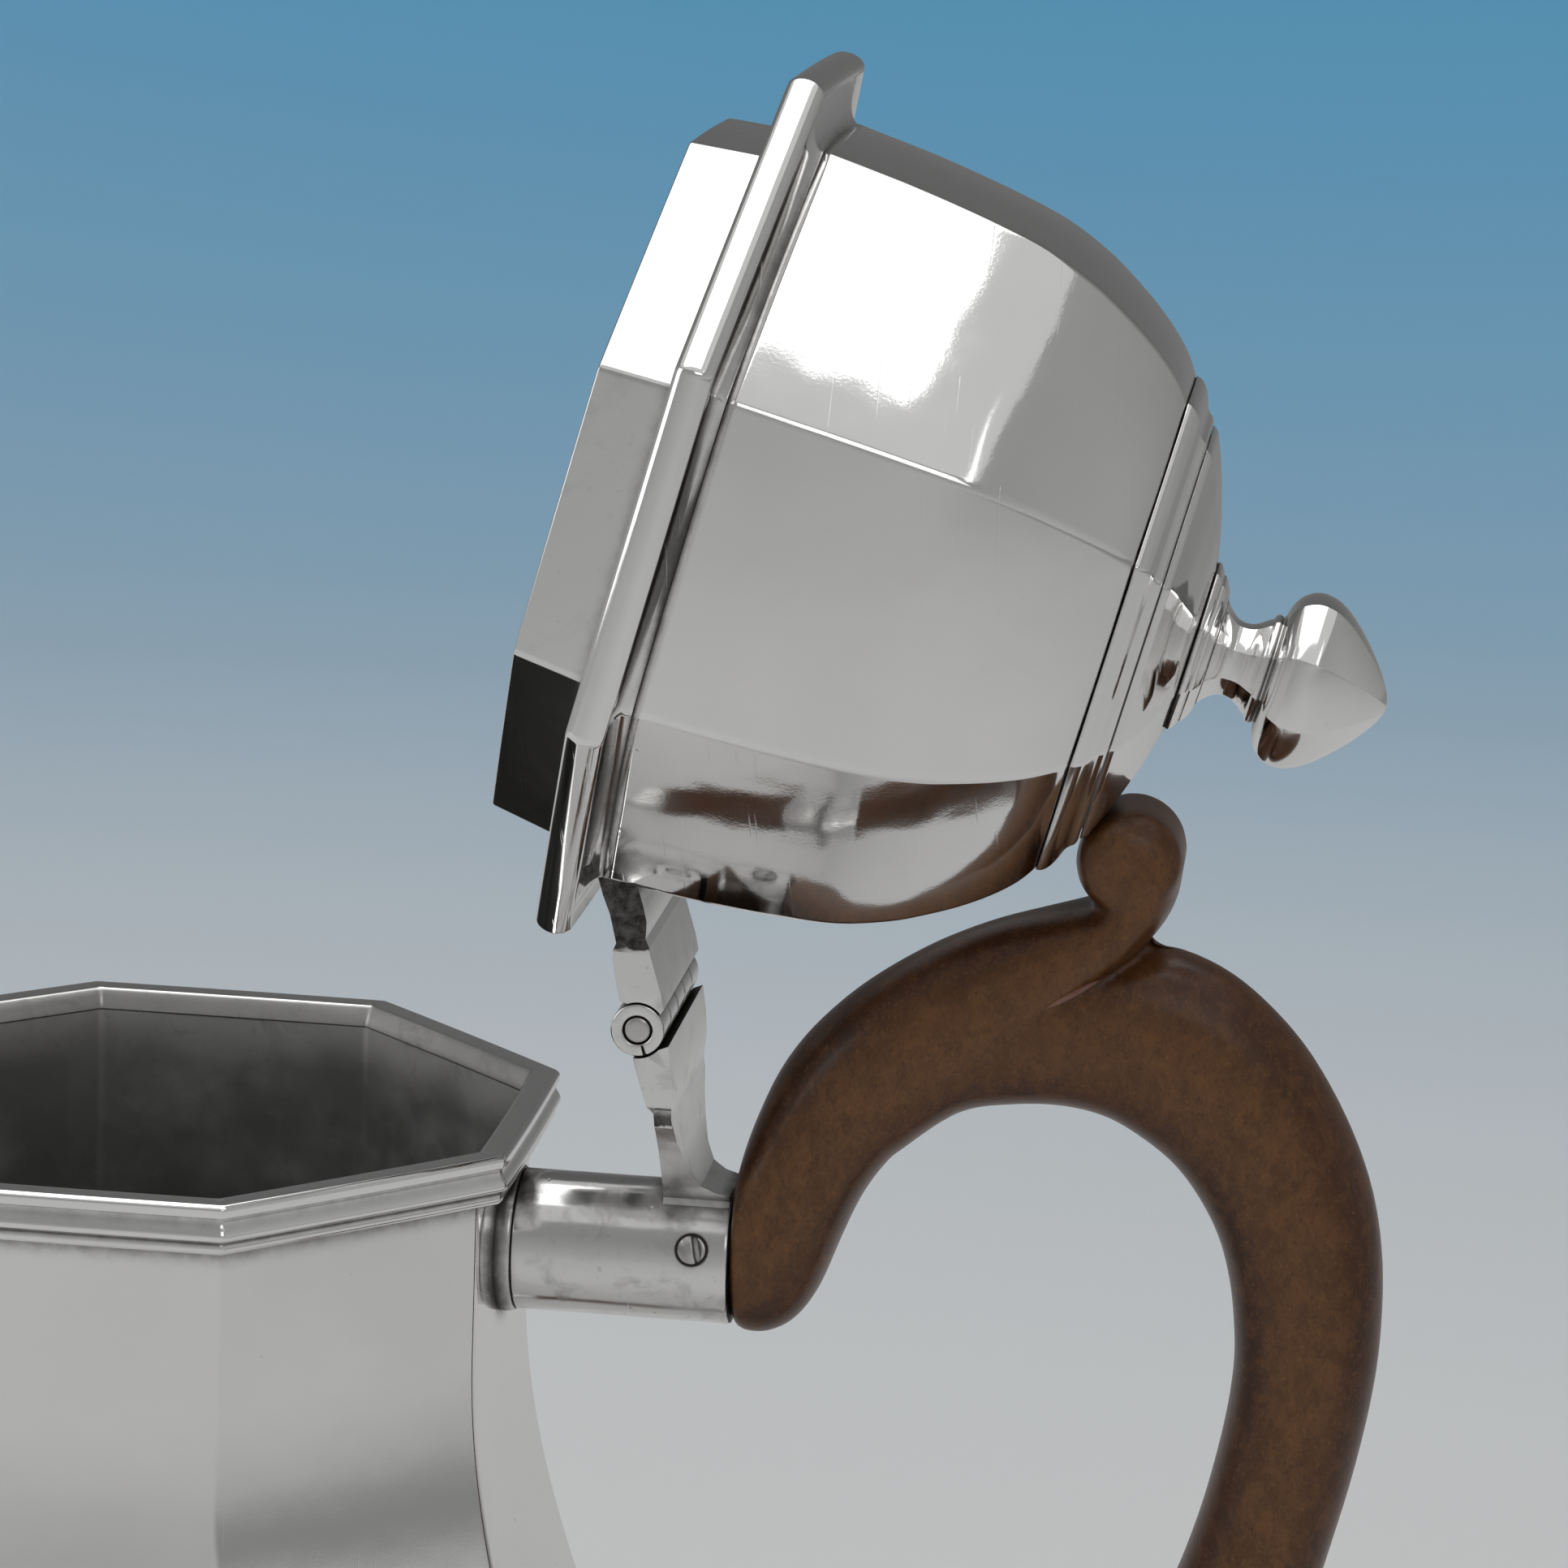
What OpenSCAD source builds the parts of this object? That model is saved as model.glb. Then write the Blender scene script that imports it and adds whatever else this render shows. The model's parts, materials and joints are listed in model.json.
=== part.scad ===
// Octagonal baluster coffee pot with a tall hinged dome lid and a carved wooden handle.
// The pot's axis is Z, the foot stands on z = 0, the handle is on +X and the spout on -X.
// The lid stands open, leaning back on the scroll of the handle.

/* [Pot] */
// Height of the rim above the table
rim_h = 178; // [165:1:215]
// Corner radius of the octagonal rim
rim_r = 44; // [38:0.5:53]
// Corner radius of the belly
belly_r = 63; // [54:0.5:76]
// Height of the widest part of the belly
belly_h = 62; // [52:1:75]
// Corner radius of the waist above the foot
waist_r = 35; // [29:0.5:42]
// Height of the waist above the table
waist_h = 17; // [14:0.5:21]
// Length of the straight neck under the rim
neck_len = 23; // [19:0.5:28]
// Thickness of the sheet silver
wall = 1; // [0.8:0.05:1.4]
// How far the rim stands out past the neck
rim_step = 2.6; // [2:0.1:3.4]
// Thickness of the flat rim ring
rim_t = 1.2; // [0.9:0.1:1.6]
// Height of the reeded moulding under the rim ring
moulding_h = 3.8; // [3:0.1:5]
// How far each reed bulges
reed_bulge = 0.7; // [0.4:0.05:0.9]

/* [Foot] */
// Corner radius of the foot
foot_r = 47; // [41:0.5:57]
// Height of the foot's edge ring
foot_edge_h = 5; // [4:0.25:6]
// Width of the foot's edge ring
foot_edge_w = 4; // [3:0.25:5]
// Thickness of the base plate
base_t = 1.4; // [1:0.1:2]

/* [Spout] */
// Distance of the spout's mouth from the pot's axis
spout_reach = 101; // [92:1:118]
// Height of the spout's mouth
spout_h = 163; // [140:1:175]
// Height of the middle of the spout's root
spout_root_h = 66; // [58:1:72]
// Corner radius of the spout at its root
spout_root_r = 15; // [12.5:0.25:17]
// Corner radius of the spout at its mouth
spout_mouth_r = 6.6; // [5.5:0.1:8]
// Thickness of the spout's wall
spout_wall = 1.1; // [0.9:0.1:1.4]
// Thickness of the plate behind the spout's root
spout_plate_t = 0.9; // [0.6:0.1:1.3]
// Width of the plate's edge around the root
spout_plate_w = 2.6; // [1.8:0.1:3.6]
// How far the lip stands out past the spout
lip_w = 0.8; // [0.5:0.05:1.2]
// Radius of a strainer hole
strainer_hole_r = 1.2; // [0.9:0.05:1.5]
// Distance between strainer holes
strainer_pitch = 4.6; // [4:0.1:5.5]

/* [Sockets and pins] */
// Outer radius of the upper handle socket
upper_socket_r = 7.05; // [6:0.05:8]
// Distance of the upper socket's end from the neck's flat
upper_socket_len = 25; // [22:0.5:28]
// Drop of the upper socket's axis below the rim
upper_socket_drop = 14.4; // [13:0.1:16.5]
// Outer radius of the lower handle socket
lower_socket_r = 6.8; // [6:0.05:8]
// Distance of the lower socket's end from the belly's flat
lower_socket_len = 15; // [12.5:0.5:18]
// Drop of the lower socket's axis below the rim
lower_socket_drop = 105; // [100:1:112]
// Thickness of a socket's wall
socket_wall = 1; // [0.8:0.05:1.3]
// Thickness of the collar between a socket and the body
collar_t = 2; // [1.5:0.1:2.6]
// How far a collar stands out past its socket
collar_w = 0.5; // [0.3:0.05:1]
// Radius of the pins that hold the handle
handle_pin_r = 1.65; // [1.2:0.05:2]
// Distance of a handle pin from its socket's end
handle_pin_inset = 3.8; // [3:0.1:5]
// Tilt of the upper handle pin
handle_pin_tilt = 17.5; // [0:0.5:25]
// Width of the slot in a pin's head
pin_slot_w = 0.6; // [0.4:0.05:0.9]
// How far a pin's heads stand proud of its socket
pin_proud = 0.2; // [0.1:0.05:0.4]

/* [Handle] */
// Width of the handle
handle_w = 15; // [12.5:0.5:18]
// Gap between the open lid and the scroll that it leans on
lean_gap = 0.35; // [0.2:0.05:0.6]
// Length of the tenon in the upper socket
upper_tenon = 17; // [14:0.5:20]
// Length of the tenon in the lower socket
lower_tenon = 9; // [8:0.5:11]

/* [Lid] */
// Angle between the closed lid and the open lid
lid_open = 104.8; // [95:0.1:110]
// Gap between the closed lid and the rim
lid_gap = 0.3; // [0.2:0.05:0.5]
// How far the lid's flange stands out past the rim
flange_over = 4.9; // [4:0.1:6]
// Width of the flange outside the dome
flange_w = 7.1; // [6:0.1:8]
// Height of the flange
flange_h = 5.2; // [4.5:0.1:6]
// Thickness of the flange's flat underside
flange_t = 1.2; // [0.9:0.1:1.6]
// Height of the flange's rounded edge
flange_edge_h = 3.8; // [3:0.1:4.4]
// Height of the dome above the flange
dome_h = 41.4; // [34:0.2:50]
// Corner radius of the dome's top edge
dome_top_r = 27.2; // [23:0.2:31]
// Thickness of the lid's silver
lid_wall = 0.9; // [0.7:0.05:1.2]
// Depth of the bezel below the flange
bezel_depth = 8; // [6.5:0.25:9]
// Gap between the bezel's top and the inside of the pot
bezel_gap = 1; // [0.8:0.1:1.3]
// How much the bezel's corner radius shrinks towards its bottom
bezel_taper = 1.1; // [0.9:0.05:1.5]
// Thickness of the bezel
bezel_t = 1; // [0.8:0.05:1.3]
// Height of the stepped moulding between the dome and the cap
cap_moulding_h = 3.3; // [2.8:0.1:4]
// How far that moulding steps in from the dome to the cap
cap_step = 4.3; // [3.5:0.1:5]
// Rise of the cap above the moulding
cap_rise = 4.9; // [4:0.1:6]
// Height of the finial above the cap
finial_h = 20.8; // [17:0.2:25]
// Corner radius of the finial's bud
bud_r = 9.5; // [8:0.1:11.4]
// Corner radius of the finial's base
finial_base_r = 9.2; // [8:0.1:11]

/* [Hinge] */
// Distance of the hinge axis from the flat of the lid's flange
hinge_out = 8.6; // [7.6:0.1:10]
// Height of the hinge axis above the rim
hinge_up = 13.2; // [12:0.1:15]
// Outer radius of the knuckles
knuckle_r = 2.8; // [2.4:0.05:3.2]
// Radius of the hinge pin
hinge_pin_r = 1.45; // [1.2:0.05:1.7]
// Running clearance between the pin and the lid's knuckles
pin_clearance = 0.05; // [0.02:0.01:0.1]
// Width of the hinge
hinge_w = 26; // [22:0.5:30]
// Gap between two knuckles and around each of them
knuckle_gap = 0.3; // [0.2:0.05:0.5]
// Thickness of the hinge leaves
leaf_t = 3.8; // [3:0.1:4.4]
// Width of the bracket where it stands on the socket
bracket_foot_w = 12; // [10:0.5:14]

/* [Hidden] */
$fn = 64;

half_side = 22.5;                       // angle from the middle of a flat to a corner
flat = cos(half_side);                  // flat's distance from the axis, per corner radius
eps = 0.01;                             // lets a cutter run past the face that it opens

neck_r = rim_r - rim_step;
neck_z = rim_h - neck_len;
body_top = rim_h - rim_t;
mouth_r = neck_r - wall / flat;         // corner radius of the pot's mouth
reeds = 3;

flange_r = rim_r + flange_over;
dome_r = flange_r - flange_w;
bezel_r = mouth_r - bezel_gap;
dome_top_z = flange_h + lid_gap + dome_h;
cap_z = dome_top_z + cap_moulding_h;
cap_r = dome_top_r - cap_step;
finial_z = cap_z + cap_rise;

hinge_x = flange_r * flat + hinge_out;
hinge_z = rim_h + hinge_up;
knuckles = 5;
knuckle_len = (hinge_w - (knuckles - 1) * knuckle_gap) / knuckles;

upper_socket_end = neck_r * flat + upper_socket_len;
upper_socket_z = rim_h - upper_socket_drop;
lower_socket_z = rim_h - lower_socket_drop;
lower_socket_start = body_r(lower_socket_z) * flat;
lower_socket_end = lower_socket_start + lower_socket_len;

silver = [0.78, 0.78, 0.77];
dull_silver = [0.62, 0.62, 0.61];
fruitwood = [0.33, 0.23, 0.15];

// ---- outlines ----

function lerp(a, b, t) = a + (b - a) * t;
function reverse(p) = [for (i = [len(p) - 1:-1:0]) p[i]];

// A smooth line through the points p, with n steps between each two of them
function spline(p0, p1, p2, p3, t) =
    0.5 * (2 * p1 + (p2 - p0) * t + (2 * p0 - 5 * p1 + 4 * p2 - p3) * t * t
        + (3 * p1 - p0 - 3 * p2 + p3) * t * t * t);
function smooth_line(p, n = 5) = [
    for (i = [0:len(p) - 2]) for (k = [0:n - 1])
        spline(p[max(i - 1, 0)], p[i], p[i + 1], p[min(i + 2, len(p) - 1)], k / n),
    p[len(p) - 1]
];

// The line p moved inward by t, along its own normal, with level ends
function along(p, i) = let (d = p[min(i + 1, len(p) - 1)] - p[max(i - 1, 0)]) d / norm(d);
function inward(p, i, t) = (i == 0 || i == len(p) - 1)
    ? p[i] - [t / flat, 0]
    : p[i] + t / flat * [-along(p, i).y, along(p, i).x];
function shell(p, t) = concat(p, reverse([for (i = [0:len(p) - 1]) inward(p, i, t)]));

// Half-round reeds one under the other, from z downward
function reeding(r, z, h, n, bulge) = [
    for (i = [0:n - 1]) for (a = [0:30:150])
        [r + bulge * sin(a), z - h * (i + (1 - cos(a)) / 2) / n]
];

// Corner radius of the body at a height: foot waist, belly, then the straight neck
function body_r(z) =
    z >= neck_z ? neck_r :
    z >= belly_h ? lerp(neck_r, belly_r, (1 - cos(180 * (neck_z - z) / (neck_z - belly_h))) / 2) :
    lerp(waist_r, belly_r, (1 + cos(180 * pow((belly_h - z) / (belly_h - waist_h), 1.3))) / 2);
body_line = [
    for (i = [0:14]) let (z = lerp(waist_h, belly_h, i / 14)) [body_r(z), z],
    for (i = [1:20]) let (z = lerp(belly_h, neck_z, i / 20)) [body_r(z), z],
    [neck_r, body_top]
];

module octagon_turn(p) rotate([0, 0, half_side]) rotate_extrude($fn = 8) polygon(p);

// The body as one solid block, thickened by extra
module body_block(extra = 0) octagon_turn(concat(
    [[0, waist_h]], [for (p = body_line) p + [extra / flat, 0]], [[0, body_top]]));

// ---- pot ----

module pot_body() color(silver) difference() {
    octagon_turn(shell(body_line, wall));
    strainer_holes();
}

// Rows of holes through the wall, inside the spout's root
module strainer_holes() {
    hole_ring = 6;
    translate([-belly_r - wall, 0, spout_root_h]) rotate([0, 90, 0]) {
        cylinder(r = strainer_hole_r, h = belly_r / 2);
        for (i = [0:hole_ring - 1]) rotate([0, 0, i * 360 / hole_ring])
            translate([strainer_pitch, 0, 0]) cylinder(r = strainer_hole_r, h = belly_r / 2);
    }
}

module base_plate() color(dull_silver) intersection() {
    octagon_turn(concat([[0, waist_h]], [for (i = [0:3]) inward(body_line, i, wall)],
        [[0, inward(body_line, 3, wall).y]]));
    cylinder(r = belly_r, h = waist_h + base_t);
}

module foot() color(silver) {
    flare = smooth_line([
        [foot_r - 1.6, foot_edge_h],
        [foot_r - 2.4, foot_edge_h + 2],
        [lerp(waist_r, foot_r, 0.45), foot_edge_h + 4],
        [waist_r + 1.4, lerp(foot_edge_h, waist_h, 0.65)],
        [waist_r, waist_h]
    ]);
    octagon_turn(shell(flare, wall));
}

// Two reeds over a plain flat lip, which is what the pot stands on
module foot_edge() color(silver) {
    lip_h = 0.8;
    lip_r = foot_r - 0.6;
    octagon_turn(concat(
        [[foot_r - foot_edge_w, foot_edge_h], [foot_r - 1.2, foot_edge_h]],
        reeding(foot_r - 0.8, foot_edge_h - 0.4, foot_edge_h - 0.4 - lip_h, 2, 0.8),
        [[lip_r, lip_h], [foot_r - foot_edge_w, lip_h]]
    ));
    rotate([0, 0, half_side]) linear_extrude(lip_h) difference() {
        circle(r = lip_r, $fn = 8);
        circle(r = foot_r - foot_edge_w, $fn = 8);
    }
}

module rim_ring() color(silver) octagon_turn([
    [mouth_r, body_top], [mouth_r, rim_h], [rim_r, rim_h],
    [rim_r + 0.5, rim_h - 0.3], [rim_r + 0.6, body_top + 0.3], [rim_r + 0.4, body_top]
]);

module rim_moulding() color(silver) octagon_turn(concat(
    [[neck_r, body_top]],
    reeding(rim_r + 0.5, body_top, moulding_h, reeds, reed_bulge),
    [[rim_r + 0.5, body_top - moulding_h], [neck_r, body_top - moulding_h - 0.6]]
));

// ---- spout: an octagonal tube along a swan-neck curve ----

spout_curve = [
    [-0.45 * belly_r, spout_root_h - 2],
    [-belly_r - 34, spout_root_h - 8],
    [-spout_reach + 37, lerp(spout_root_h, spout_h, 0.72)],
    [-spout_reach, spout_h]
];
spout_steps = 26;
lip_steps = 2;

function bezier(c, t) = pow(1 - t, 3) * c[0] + 3 * pow(1 - t, 2) * t * c[1]
    + 3 * (1 - t) * t * t * c[2] + pow(t, 3) * c[3];
function bezier_dir(c, t) = let (d = pow(1 - t, 2) * (c[1] - c[0])
    + 2 * (1 - t) * t * (c[2] - c[1]) + t * t * (c[3] - c[2])) d / norm(d);
function spout_r(t) = lerp(spout_root_r, spout_mouth_r, pow(sin(90 * t), 1.1));
function spout_ring(t, r) = let (m = bezier(spout_curve, t), d = bezier_dir(spout_curve, t)) [
    for (k = [0:7]) let (a = half_side + 45 * k)
        [m.x - d.y * r * cos(a), r * sin(a), m.y + d.x * r * cos(a)]
];

// The stretch of the tube from step a to step b, with its corner radius grown by extra.
// run lengthens it past its end.
module spout_tube(a, b, extra, run = 0) {
    end = bezier_dir(spout_curve, b / spout_steps) * run;
    rings = [
        for (i = [a:b]) spout_ring(i / spout_steps, spout_r(i / spout_steps) + extra),
        [for (p = spout_ring(b / spout_steps, spout_r(b / spout_steps) + extra))
            p + [end.x, 0, end.y]]
    ];
    used = run > 0 ? len(rings) : len(rings) - 1;
    polyhedron(
        points = [for (i = [0:used - 1]) each rings[i]],
        faces = concat(
            [[for (k = [7:-1:0]) k]],
            [for (i = [0:used - 2]) for (k = [0:7]) let (a = 8 * i, next = (k + 1) % 8)
                each [[a + next, a + 8 + k, a + k], [a + next, a + 8 + next, a + 8 + k]]],
            [[for (k = [0:7]) 8 * (used - 1) + k]]
        )
    );
}

module spout() color(silver) difference() {
    spout_tube(0, spout_steps, 0);
    spout_tube(0, spout_steps, -spout_wall / flat, 1);
    body_block(spout_plate_t);
}

module spout_plate() color(silver) intersection() {
    difference() {
        body_block(spout_plate_t);
        body_block();
    }
    translate([-belly_r - 10, 0, spout_root_h]) rotate([0, 90, 0]) rotate([0, 0, half_side])
        difference() {
            cylinder(r = spout_root_r + spout_plate_w, h = belly_r, $fn = 8);
            cylinder(r = 2 * strainer_pitch, h = belly_r, $fn = 8);
        }
}

module spout_lip() color(silver) difference() {
    spout_tube(spout_steps - lip_steps, spout_steps, lip_w);
    spout_tube(spout_steps - lip_steps - 1, spout_steps, 0, 1);
}

// ---- sockets, handle and its pins ----

module socket(start, end, z, r) translate([start, 0, z]) rotate([0, 90, 0]) difference() {
    cylinder(r = r, h = end - start);
    translate([0, 0, -1]) cylinder(r = r - socket_wall, h = end - start + 2);
}

module upper_socket() color(dull_silver) difference() {
    socket(neck_r * flat + collar_t, upper_socket_end, upper_socket_z, upper_socket_r);
    handle_pin_space(upper_socket_end, upper_socket_z, upper_socket_r, handle_pin_tilt);
}

module lower_socket() color(dull_silver) difference() {
    socket(lower_socket_start + collar_t, lower_socket_end, lower_socket_z, lower_socket_r);
    handle_pin_space(lower_socket_end, lower_socket_z, lower_socket_r, 0);
}

// A collar is a short solid disc between the body's flat and the socket
module collar(face, z, r) difference() {
    translate([face - 4, 0, z]) rotate([0, 90, 0]) cylinder(r = r + collar_w, h = 4 + collar_t);
    body_block();
}
module upper_collar() color(dull_silver) difference() {
    collar(neck_r * flat, upper_socket_z, upper_socket_r);
    rim_moulding();
}
module lower_collar() color(dull_silver) collar(lower_socket_start, lower_socket_z, lower_socket_r);

module handle_pin_space(end, z, r, tilt) translate([end - handle_pin_inset, 0, z])
    rotate([90 - tilt, 0, 0]) cylinder(r = handle_pin_r, h = 3 * r, center = true);

module handle_pin(end, z, r, tilt) translate([end - handle_pin_inset, 0, z])
    rotate([90 - tilt, 0, 0]) difference() {
        cylinder(r = handle_pin_r, h = 2 * (r + pin_proud), center = true);
        translate([handle_pin_r * 0.35, 0, r + pin_proud]) rotate([0, 0, 12])
            cube([pin_slot_w, 3 * handle_pin_r, 2 * pin_proud + 0.4], center = true);
    }
module upper_handle_pin() color(dull_silver)
    handle_pin(upper_socket_end, upper_socket_z, upper_socket_r, handle_pin_tilt);
module lower_handle_pin() color(dull_silver)
    handle_pin(lower_socket_end, lower_socket_z, lower_socket_r, 0);

// Where a point of the closed lid lies when the lid is open
function opened(x, z) = [
    hinge_x + (x - hinge_x) * cos(lid_open) + (z - hinge_up) * sin(lid_open),
    hinge_z - (x - hinge_x) * sin(lid_open) + (z - hinge_up) * cos(lid_open)
];

// The handle is drawn from four places: the upper socket's end, the spot where the lid's
// cap leans on the scroll, the grip's outermost point and the lower socket's end
top_at = [upper_socket_end, upper_socket_z];
lean_r = cap_r - 1.6;
lean_at = opened(lean_r * flat, cap_height(lean_r));
lean_dir = lid_open + 32;               // square to the cap there, from the hinge's side
scroll_r = 5.6;
scroll_at = lean_at + (scroll_r + lean_gap) * [sin(lean_dir), cos(lean_dir)];
grip_at = [lean_at.x + 32.6, rim_h - 17];
foot_at = [lower_socket_end, lower_socket_z];

handle_outer = concat(
    smooth_line([top_at + [0, 8], top_at + [1.2, 12], top_at + [4.2, 21.2],
        top_at + [11.8, 30.2], scroll_at + [-15.7, -8.3], scroll_at + [-3.2, -4.6]]),
    [for (a = [215:-15:-50]) scroll_at + scroll_r * [cos(a), sin(a)]],
    smooth_line([scroll_at + [4.4, -9.2], scroll_at + [15, -15.3], grip_at + [-8.7, 28.5],
        grip_at + [-1.8, 14.5], grip_at, grip_at + [-1.6, -14.5], grip_at + [-4.7, -27.2],
        grip_at + [-12.4, -45.6], foot_at + [31.5, 20]])
);
handle_heel = smooth_line([foot_at + [31.5, 20], foot_at + [29.6, 14], foot_at + [30.6, 7.5],
    foot_at + [28.4, 0.8], foot_at + [22, -3.4], foot_at + [14.5, -4.2], foot_at + [7, -7],
    foot_at + [0, -7.6]]);
handle_inner = smooth_line([foot_at + [0, 7.6], foot_at + [6.5, 8.6], foot_at + [13, 12.8],
    foot_at + [18.6, 19.6], grip_at + [-29, -48], grip_at + [-20, -28],
    grip_at + [-15.6, -5], grip_at + [-16.3, 4.6], grip_at + [-20, 13], grip_at + [-26.3, 19.2],
    grip_at + [-34, 22], grip_at + [-42.5, 21.4], top_at + [18.4, 15.2], top_at + [13, 7.9],
    top_at + [9.7, -1.2], top_at + [6.6, -6.2], top_at + [1.9, -7.8], top_at + [0, -7]]);

module handle() color(fruitwood) difference() {
    union() {
        rotate([90, 0, 0]) linear_extrude(handle_w, center = true)
            polygon(concat(handle_outer, handle_heel, handle_inner));
        tenon(upper_socket_end, upper_tenon, upper_socket_z, upper_socket_r);
        tenon(lower_socket_end, lower_tenon, lower_socket_z, lower_socket_r);
    }
    handle_pin_space(upper_socket_end, upper_socket_z, upper_socket_r, handle_pin_tilt);
    handle_pin_space(lower_socket_end, lower_socket_z, lower_socket_r, 0);
}

module tenon(end, len, z, r) translate([end - len, 0, z]) rotate([0, 90, 0])
    cylinder(r = r - socket_wall, h = len + 1);

// ---- hinge: three knuckles on the pot's bracket, two on the lid's strap ----

function knuckle_y(i) = -hinge_w / 2 + i * (knuckle_len + knuckle_gap);

module knuckle(i, bore) translate([0, knuckle_y(i) + knuckle_len, 0]) rotate([90, 0, 0])
    difference() {
        cylinder(r = knuckle_r, h = knuckle_len);
        translate([0, 0, -1]) cylinder(r = bore, h = knuckle_len + 2);
    }

module pot_knuckles() color(dull_silver) translate([hinge_x, 0, hinge_z])
    for (i = [0, 2, 4]) knuckle(i, hinge_pin_r);

module hinge_pin() color(dull_silver) translate([hinge_x, hinge_w / 2, hinge_z])
    rotate([90, 0, 0]) cylinder(r = hinge_pin_r, h = hinge_w);

// A leaf stops short of the barrel, and a finger at each of its own knuckles meets it.
// The leaf's outline is drawn in the XZ plane, around the hinge axis.
module leaf(outline, fingers, reach) difference() {
    union() {
        difference() {
            rotate([90, 0, 0]) linear_extrude(hinge_w, center = true) polygon(outline);
            rotate([90, 0, 0]) cylinder(r = knuckle_r + knuckle_gap, h = hinge_w + 2, center = true);
        }
        for (i = fingers) translate([0, knuckle_y(i) + knuckle_len, 0]) rotate([90, 0, 0])
            linear_extrude(knuckle_len) polygon(reach);
    }
    rotate([90, 0, 0]) cylinder(r = knuckle_r, h = hinge_w + 2, center = true);
}

// The bracket stands on the upper socket, waisted below its leaf
stand = upper_socket_z + upper_socket_r - hinge_z;    // top of the socket, seen from the hinge
bracket_side = [
    [-0.2, -3.5], [leaf_t - 0.6, -3], [leaf_t + 0.3, -5], [leaf_t + 0.6, -8.5],
    [leaf_t + 0.3, stand + 8], [leaf_t - 0.4, stand + 4.9], [leaf_t + 0.5, stand + 2.8],
    [leaf_t + 2.6, stand + 1.1], [leaf_t + 5.2, stand + 0.3], [leaf_t + 5.2, stand - 2.5],
    [2.2, stand - 2.5], [1.2, stand + 2.5], [0.9, stand + 8], [0.2, -8.4]
];
module hinge_bracket() color(dull_silver) difference() {
    intersection() {
        translate([hinge_x, 0, hinge_z]) leaf(smooth_line(bracket_side, 3), [0, 2, 4],
            [[0.1, -1.5], [2.2, -1.5], [3.2, -3.5], [2.5, -5], [0.3, -5]]);
        translate([0, 0, hinge_z]) rotate([90, 0, 90])
            linear_extrude(upper_socket_end - knuckle_gap) polygon(bracket_front);
    }
    translate([0, 0, upper_socket_z]) rotate([0, 90, 0])
        cylinder(r = upper_socket_r, h = upper_socket_end);
}
bracket_half = smooth_line([[hinge_w / 2, -8.5], [hinge_w / 2 - 3.4, -12.2],
    [bracket_foot_w / 2 + 0.4, stand + 5], [bracket_foot_w / 2, stand - 1.5 * knuckle_r]], 4);
bracket_front = concat([[hinge_w / 2, 0]], bracket_half,
    [for (p = reverse(bracket_half)) [-p.x, p.y]], [[-hinge_w / 2, 0]]);

// ---- lid, drawn closed with z = 0 at the rim, then swung open ----

module swing_open() translate([hinge_x, 0, hinge_z]) rotate([0, lid_open, 0])
    translate([-hinge_x, 0, -hinge_up]) children();

dome_line = let (h = dome_h, z0 = lid_gap + flange_h, fall = dome_r - dome_top_r) smooth_line([
    [dome_r, z0], [dome_r - 0.04 * fall, z0 + 0.2 * h], [dome_r - 0.12 * fall, z0 + 0.45 * h],
    [dome_r - 0.22 * fall, z0 + 0.6 * h], [dome_r - 0.46 * fall, z0 + 0.78 * h],
    [dome_r - 0.74 * fall, z0 + 0.92 * h], [dome_top_r, dome_top_z]
]);
module lid_bezel() color(dull_silver) swing_open() octagon_turn([
    [bezel_r - bezel_t, lid_gap], [bezel_r, lid_gap],
    [bezel_r - bezel_taper, lid_gap - bezel_depth],
    [bezel_r - bezel_taper - bezel_t, lid_gap - bezel_depth]
]);

// A rounded outer edge, then a cove that sweeps up to the foot of the dome
edge_round = 1.2;
flange_edge = [
    for (a = [-90:30:90]) [flange_r - edge_round * (1 - cos(a)),
        lid_gap + flange_edge_h * (1 + sin(a)) / 2],
    for (a = [0:15:75]) [lerp(dome_r, flange_r - edge_round - 0.8, 1 - sin(a)),
        lerp(lid_gap + flange_edge_h - 0.5, lid_gap + flange_h, 1 - cos(a))]
];
module flange_shape() octagon_turn([
    [bezel_r - bezel_t, lid_gap], each flange_edge, [dome_r, lid_gap + flange_h],
    [dome_r - lid_wall / flat, lid_gap + flange_h],
    [dome_r - lid_wall / flat, lid_gap + flange_t], [bezel_r - bezel_t, lid_gap + flange_t]
]);
module lid_flange() color(silver) swing_open() flange_shape();

module lid_dome() color(silver) swing_open() octagon_turn(shell(dome_line, lid_wall));

module cap_moulding() color(silver) swing_open() octagon_turn([
    [cap_r - lid_wall, dome_top_z], [dome_top_r, dome_top_z],
    for (p = [[0.05, 0.27], [0.28, 0.55], [0.63, 0.73], [0.81, 0.91]])
        [dome_top_r - p.x * cap_step, dome_top_z + p.y * cap_moulding_h],
    [cap_r, cap_z], [cap_r - lid_wall, cap_z]
]);

// Height of the cap's surface over the closed rim, at a corner radius
function cap_height(r) = cap_z
    + cap_rise * (1 - pow((r - finial_base_r) / (cap_r - finial_base_r), 1.25));
cap_radii = [for (i = [0:6]) lerp(cap_r, finial_base_r, i / 6)];
module lid_cap() color(silver) swing_open() octagon_turn(concat(
    [for (r = cap_radii) [r, cap_height(r)]],
    [[0, finial_z], [0, finial_z - lid_wall]],
    reverse([for (r = cap_radii) [r - lid_wall, max(cap_z, cap_height(r) - lid_wall)]])
));

module finial_base() color(silver) swing_open() octagon_turn([
    [0, finial_z], [finial_base_r, finial_z], [finial_base_r - 0.3, finial_z + 0.6],
    [finial_base_r - 1, finial_z + 1.2], [finial_base_r - 2.1, finial_z + 1.7],
    [finial_base_r - 3.4, finial_z + 2.1], [0, finial_z + 2.1]
]);

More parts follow.
